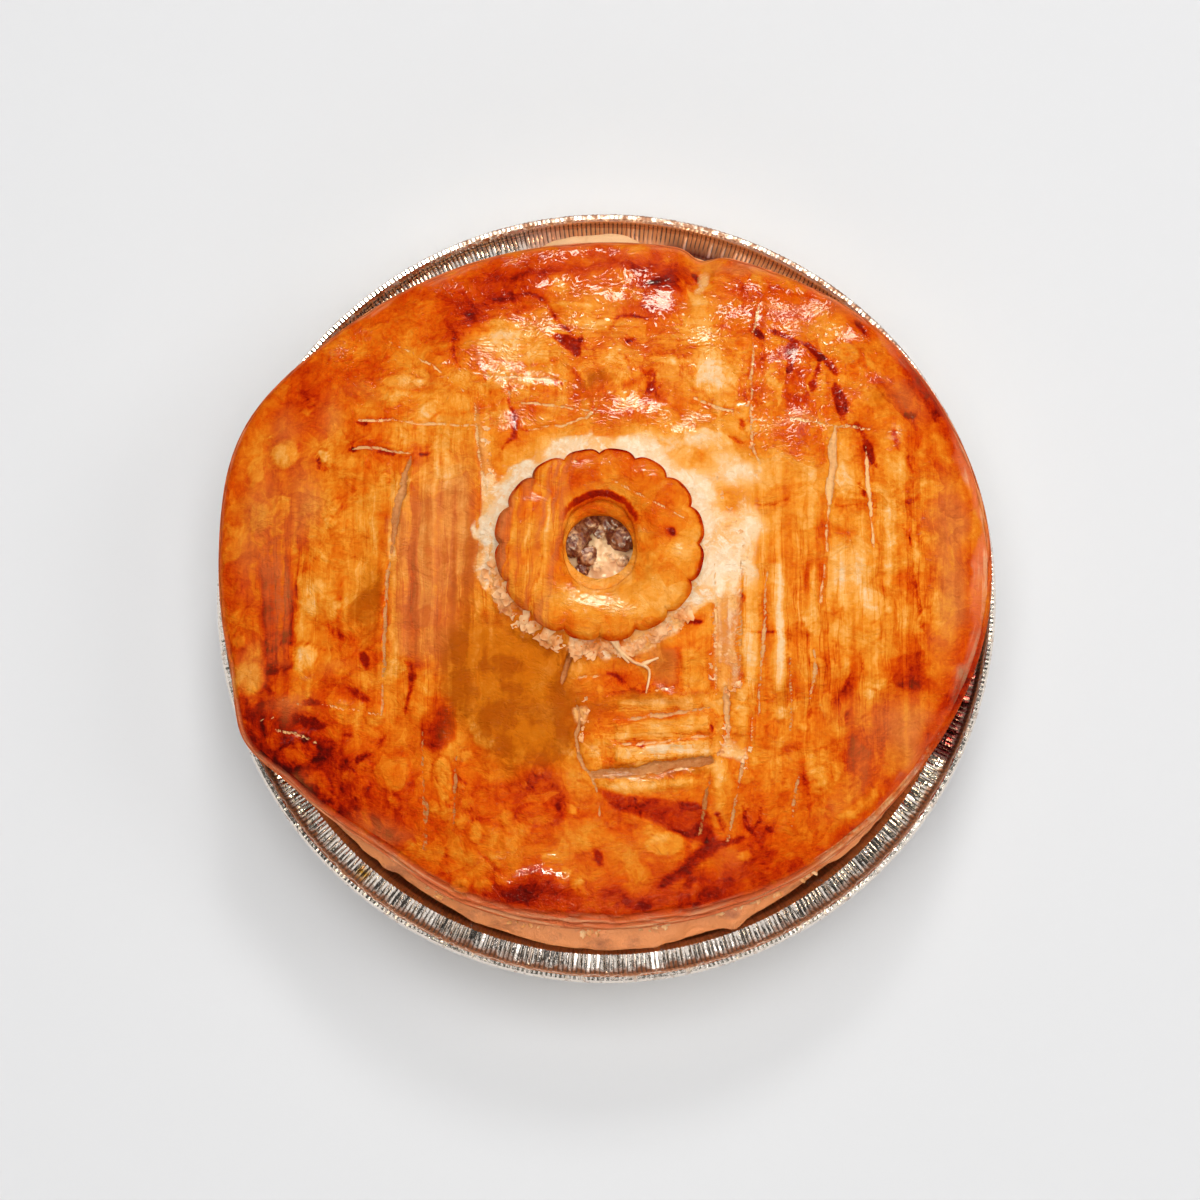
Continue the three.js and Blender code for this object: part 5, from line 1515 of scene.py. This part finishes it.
# Flakes and strand
# Scraps of the same dough: torn flakes that stand up round the ring's foot and along the cuts, crumbs of
# the seam under the lid's edge, and a loose strand that the cutter pulled out of the ring.
FLAKE_KINDS = 5
FLAKE_THICKNESS = 0.16
FLAKE_CREAM = (0.92, 0.57, 0.28, 1)
FLAKE_TAN = (0.80, 0.33, 0.09, 1)
FLAKE_BROWN = (0.50, 0.13, 0.022, 1)
CUT_SCRAPS = (
    ((-6.5, -34), (-5.5, -40), (-7, -47)), ((33, -41), (31.4, -47), (30.6, -50)),
    ((38.4, -47), (37, -54)), ((32.6, -32), (35.4, -30)), ((29, -12), (28.8, -28)),
    ((-34, 40), (-31, 26)), ((30, 26), (36, 14), (37.4, 4)), ((39.6, 48), (40.4, 34)),
)

# Stretches of the seam, in degrees round the pie, where crumbs were squeezed out
SEAM_CRUMBS = ((-121, -116), (-107, -101), (-94, -91), (-84, -80), (-71, -65), (-65, -60), (-58, -53))
STRAND = ((0.8, -17.6), (3.4, -21.0), (7.4, -24.2), (10.6, -25.4), (11.6, -27.4), (10.6, -32.6))
STRAND_SIDES = (((9.4, -25.0), (12.0, -23.8), (14.0, -23.0)), ((2.4, -18.4), (3.6, -21.6), (6.0, -24.4)))
STRAND_WIDTH = 1.3


def flake(number):
    """A small bent leaf of dough with a torn outline, one unit across."""
    tear = np.random.default_rng(90 + number)
    steps = np.linspace(-0.5, 0.5, 5)
    u, v = np.meshgrid(steps, steps[::2], indexing="ij")
    x = u * (1 + tear.uniform(-0.3, 0.3, u.shape))
    y = 0.55 * v * (1 + tear.uniform(-0.4, 0.4, u.shape))
    z = tear.uniform(0.3, 0.9) * u ** 2 + tear.uniform(-0.3, 0.5) * v ** 2
    z += tear.uniform(-0.05, 0.05, u.shape)
    top = np.stack([x, y, z], axis=-1).reshape(-1, 3)
    spots = np.vstack([top, top - np.array([0, 0, FLAKE_THICKNESS])])
    rows, columns = u.shape
    faces = []
    for i in range(rows - 1):
        for j in range(columns - 1):
            near = i * columns + j
            quad = (near, near + columns, near + columns + 1, near + 1)
            faces.append(quad)
            faces.append(tuple(corner + len(top) for corner in reversed(quad)))
    rim = [i * columns for i in range(rows)] + [(rows - 1) * columns + j for j in range(1, columns)]
    rim += [i * columns + columns - 1 for i in range(rows - 2, -1, -1)]
    rim += list(range(columns - 2, 0, -1))
    for first, second in zip(rim, rim[1:] + rim[:1]):
        faces.append((second, first, first + len(top), second + len(top)))
    mesh = bpy.data.meshes.new("flake")
    mesh.from_pydata(spots, [], faces)
    return mesh


def scattered_flakes(name, shapes, ground, finish, sizes):
    """Geometry tree: flakes strewn along the lines of a mesh, and dropped on the ground if it is given."""
    tree, given, result = start_tree(name, sizes)
    line = place(tree, "GeometryNodeMeshToCurve", {"Mesh": given.outputs["Geometry"]})
    points = place(tree, "GeometryNodeCurveToPoints",
                   {"Curve": line, "Count": given.outputs["Count"]}, mode="COUNT")
    index = place(tree, "GeometryNodeInputIndex")

    def chance(low, high, salt, kind):
        first = {"FLOAT_VECTOR": 0, "FLOAT": 2, "INT": 4}[kind]
        seed = reckon(tree, "ADD", given.outputs["Seed"], float(salt))
        sockets = {first: low, first + 1: high, "ID": index, "Seed": seed}
        return place(tree, "FunctionNodeRandomValue", sockets, data_type=kind).outputs[first // 2]

    sway = chance((-1, -1, -0.3), (1, 1, 0.3), 1, "FLOAT_VECTOR")
    stray = place(tree, "ShaderNodeVectorMath", {0: sway, "Scale": given.outputs["Spread"]},
                  operation="SCALE")
    strewn = place(tree, "GeometryNodeSetPosition",
                   {"Geometry": points.outputs["Points"], "Offset": stray})
    if ground:
        under = place(tree, "GeometryNodeObjectInfo", {"Object": ground})
        spot = place(tree, "GeometryNodeInputPosition")
        above = place(tree, "ShaderNodeVectorMath", {0: spot, 1: (0.0, 0.0, 0.05)}, operation="ADD")
        drop = place(tree, "GeometryNodeRaycast", {
            "Target Geometry": under.outputs["Geometry"], "Source Position": above,
            "Ray Direction": (0.0, 0.0, -1.0), "Ray Length": 0.1})
        strewn = place(tree, "GeometryNodeSetPosition", {
            "Geometry": strewn, "Selection": drop.outputs["Is Hit"],
            "Position": drop.outputs["Hit Position"]})
    kinds = place(tree, "GeometryNodeCollectionInfo",
                  {"Collection": shapes, "Separate Children": True, "Reset Children": True})
    tilt = given.outputs["Tilt"]
    most = place(tree, "ShaderNodeCombineXYZ", {"X": tilt, "Y": tilt, "Z": TURN})
    lean = chance((-1.0, -1.0, 0.0), (1.0, 1.0, 1.0), 2, "FLOAT_VECTOR")
    lie = place(tree, "ShaderNodeVectorMath", {0: lean, 1: most}, operation="MULTIPLY")
    size = place(tree, "ShaderNodeMapRange", {
        "Value": chance(0.0, 1.0, 4, "FLOAT"), "To Min": given.outputs["Smallest"],
        "To Max": given.outputs["Largest"]})
    laid = place(tree, "GeometryNodeInstanceOnPoints", {
        "Points": strewn, "Instance": kinds, "Pick Instance": True,
        "Instance Index": chance(0, FLAKE_KINDS - 1, 3, "INT"), "Rotation": lie,
        "Scale": size})
    return coat(tree, result, laid, finish)


def drawn_strand(finish, sizes):
    """Geometry tree: a thin tapering thread of dough along the lines of a mesh."""
    tree, given, result = start_tree("drawn_strand", sizes)
    line = place(tree, "GeometryNodeMeshToCurve", {"Mesh": given.outputs["Geometry"]})
    smooth = place(tree, "GeometryNodeCurveSplineType", {"Curve": line}, spline_type="CATMULL_ROM")
    fine = place(tree, "GeometryNodeResampleCurve", {"Curve": smooth, "Count": given.outputs["Steps"]})
    share = place(tree, "GeometryNodeSplineParameter").outputs["Factor"]
    thinning = place(tree, "ShaderNodeMapRange", {"Value": share, "To Min": 1.0, "To Max": 0.45})
    spot = place(tree, "GeometryNodeInputPosition")
    uneven = place(tree, "ShaderNodeTexNoise", {"Vector": spot, "Scale": 500.0})
    lumpy = place(tree, "ShaderNodeMapRange", {
        "Value": uneven.outputs["Fac"], "From Min": 0.3, "From Max": 0.7, "To Min": 0.7, "To Max": 1.3})
    width = reckon(tree, "MULTIPLY", thinning, lumpy)
    thick = reckon(tree, "MULTIPLY", width, given.outputs["Half width"])
    round_section = place(tree, "GeometryNodeCurvePrimitiveCircle", {"Resolution": 8, "Radius": 1.0})
    tube = place(tree, "GeometryNodeCurveToMesh", {
        "Curve": fine, "Profile Curve": round_section, "Scale": thick, "Fill Caps": True})
    return coat(tree, result, tube, finish)


def lines_on_lid(name, runs, lift):
    """A mesh of bare lines that run over the lid through the given points."""
    spots = []
    edges = []
    for run in runs:
        for number, (x, y) in enumerate(run):
            spots.append((x * MM, y * MM, (float(lid_top(np.array(x), np.array(y))) + lift) * MM))
            if number:
                edges.append((len(spots) - 2, len(spots) - 1))
    mesh = bpy.data.meshes.new(name)
    mesh.from_pydata(spots, edges, [])
    return mesh


def flake_finish():
    """Dry layers of puff pastry, cream inside and tan to brown where they caught the heat."""
    flakes = Finish("flakes")
    patch = flakes.noise(flakes.here, 260, 3)
    colour = flakes.blended(flakes.ranged(patch, 0.40, 0.62), FLAKE_CREAM, FLAKE_TAN)
    return flakes.done({
        "Base Color": flakes.blended(flakes.ranged(patch, 0.62, 0.76), colour, FLAKE_BROWN),
        "Normal": flakes.bumps(flakes.noise(flakes.here, 1500, 2), 0.4, 0.0004),
        "Roughness": 0.55,
        "Specular IOR Level": 0.2})


flake_shapes = bpy.data.collections.new("flake_shapes")
for kind in range(FLAKE_KINDS):
    flake_shapes.objects.link(bpy.data.objects.new("flake_%02d" % kind, flake(kind)))
dry_dough = flake_finish()
around_ring = np.radians(np.arange(-168, -36, 4))
ring_foot = oval_radius(RING_HALF, around_ring) + 1.6
foot_line = list(zip(*around_vent(around_ring, ring_foot)))
seam_turn = np.radians(np.array(SEAM_CRUMBS)).ravel()
seam_out = lid_edge_from_axis(seam_turn) + 0.5
seam = bpy.data.meshes.new("seam")
seam.from_pydata(np.c_[seam_out * np.cos(seam_turn), seam_out * np.sin(seam_turn),
                       crust_top(seam_turn, seam_out - 2) + 0.6] * MM,
                 [(start, start + 1) for start in range(0, len(seam_turn), 2)], [])
scraps = (
    ("ring_flakes", lines_on_lid("ring_foot", [foot_line], 0.0), lid,
     {"Count": 84, "Spread": 1.9 * MM, "Smallest": 1.6 * MM, "Largest": 4.4 * MM, "Tilt": 0.26, "Seed": 3}),
    ("cut_flakes", lines_on_lid("cut_scraps", CUT_SCRAPS, 0.0), lid,
     {"Count": 9, "Spread": 1.0 * MM, "Smallest": 0.7 * MM, "Largest": 2.2 * MM, "Tilt": 0.6, "Seed": 8}),
    ("seam_crumbs", seam, None,
     {"Count": 6, "Spread": 0.9 * MM, "Smallest": 0.5 * MM, "Largest": 2.2 * MM, "Tilt": 0.6, "Seed": 12}),
)
for name, mesh, ground, sizes in scraps:
    tree = scattered_flakes(name, flake_shapes, ground, dry_dough, sizes)
    piece = grow(new_piece(name, mesh), tree, sizes)
    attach(piece, "root")
clear_shapes(flake_shapes)

strand_sizes = {"Half width": 0.5 * STRAND_WIDTH * MM, "Steps": 24}
strand = new_piece("strand", lines_on_lid("strand", (STRAND,) + STRAND_SIDES, 0.9))
grow(strand, drawn_strand(dry_dough, strand_sizes), strand_sizes)
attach(strand, "root")

# Studio
# A plain pale floor under soft lamps from above, behind, the right and the front. The room round it is dim,
# but the foil and the glaze mirror bright strips in it, and two yellowish lamps that light nothing else.
FLOOR_WHITE = (0.755, 0.755, 0.76, 1)
FLOOR_HALF = 4.0
ROOM_LIGHT = 0.16
STRIP_LIGHTS = 5
STRIP_TWIST = 6.0
STRIP_LIGHT = 0.85
BETWEEN_STRIPS = 0.04
LAMP_DISTANCE = 2.4
OVERHEAD_DISTANCE = 2.3
PLAIN_LIGHT = (1.0, 1.0, 1.0)
BACK_GLINT = (1.0, 0.95, 0.76)
FRONT_GLINT = (1.0, 0.98, 0.72)
CAMERA_PLACE = (-1.84, -117.8, 764.72)
CAMERA_TILT = 9
CAMERA_LENS = 78
CAMERA_SENSOR = 36


def floor_finish():
    floor = Finish("floor")
    return floor.done({
        "Base Color": FLOOR_WHITE,
        "Roughness": floor.ranged(floor.noise(floor.here, 3.0, 2), 0.0, 1.0, 0.75, 0.9),
        "Specular IOR Level": 0.0})


corners = [(-FLOOR_HALF, -FLOOR_HALF, 0), (FLOOR_HALF, -FLOOR_HALF, 0),
           (FLOOR_HALF, FLOOR_HALF, 0), (-FLOOR_HALF, FLOOR_HALF, 0)]
ground = bpy.data.meshes.new("floor")
ground.from_pydata(corners, [], [(0, 1, 2, 3)])
ground.materials.append(floor_finish())
new_piece("floor", ground)

world = bpy.data.worlds.new("studio")
world.use_nodes = True
bpy.context.scene.world = world
sky = world.node_tree
ray = place(sky, "ShaderNodeLightPath")
toward = place(sky, "ShaderNodeSeparateXYZ", {0: place(sky, "ShaderNodeTexCoord").outputs["Generated"]})
bearing = reckon(sky, "ARCTAN2", toward.outputs["X"], toward.outputs["Y"])
strips = reckon(sky, "MULTIPLY", bearing, float(STRIP_LIGHTS))
twisted = reckon(sky, "MULTIPLY_ADD", toward.outputs["Z"], STRIP_TWIST, strips)
mirrored = place(sky, "ShaderNodeMapRange", {
    "Value": reckon(sky, "SINE", twisted), "From Min": -0.05, "From Max": 0.35,
    "To Min": BETWEEN_STRIPS, "To Max": STRIP_LIGHT})
level = place(sky, "ShaderNodeMix", {
    "Factor": ray.outputs["Is Glossy Ray"], 2: ROOM_LIGHT, 3: mirrored})
feed(sky, sky.nodes["Background"], {"Strength": level, "Color": (1, 1, 1, 1)})


def soft_lamp(name, power, size, height, turn, distance=LAMP_DISTANCE, colour=PLAIN_LIGHT):
    """A soft lamp aimed at the pie from a height and a turn to the right of the back, both in degrees."""
    lamp = bpy.data.lights.new(name, "AREA")
    lamp.shape = "RECTANGLE"
    lamp.energy = power
    lamp.color = colour
    lamp.size = size[0]
    lamp.size_y = size[1]
    stand = bpy.data.objects.new(name, lamp)
    bpy.context.scene.collection.objects.link(stand)
    up = math.radians(height)
    aside = math.radians(turn)
    out = distance * math.cos(up)
    stand.location = (out * math.sin(aside), out * math.cos(aside), distance * math.sin(up))
    stand.rotation_euler = (up - math.pi / 2, 0, -aside)
    return stand


overhead = soft_lamp("overhead_lamp", 40, (1.8, 1.8), 90, 0, OVERHEAD_DISTANCE)
overhead.visible_glossy = False
soft_lamp("back_lamp", 13, (0.5, 0.5), 45, 8)
soft_lamp("right_lamp", 8, (0.9, 0.9), 44, 84)
front = soft_lamp("front_lamp", 5, (1.2, 0.8), 32, 176)
front.visible_glossy = False
shine = soft_lamp("shine_lamp", 190, (1.3, 3.0), 36, 8, colour=BACK_GLINT)
shine.visible_diffuse = False
front_shine = soft_lamp("front_shine", 80, (0.7, 0.4), 47, 178, colour=FRONT_GLINT)
front_shine.visible_diffuse = False

camera = bpy.data.cameras.new("camera")
camera.lens = CAMERA_LENS
camera.sensor_width = CAMERA_SENSOR
camera_stand = bpy.data.objects.new("camera", camera)
bpy.context.scene.collection.objects.link(camera_stand)
camera_stand.location = [along * MM for along in CAMERA_PLACE]
camera_stand.rotation_euler = (math.radians(CAMERA_TILT), 0, 0)
bpy.context.scene.camera = camera_stand
bpy.context.scene.view_settings.view_transform = "Standard"
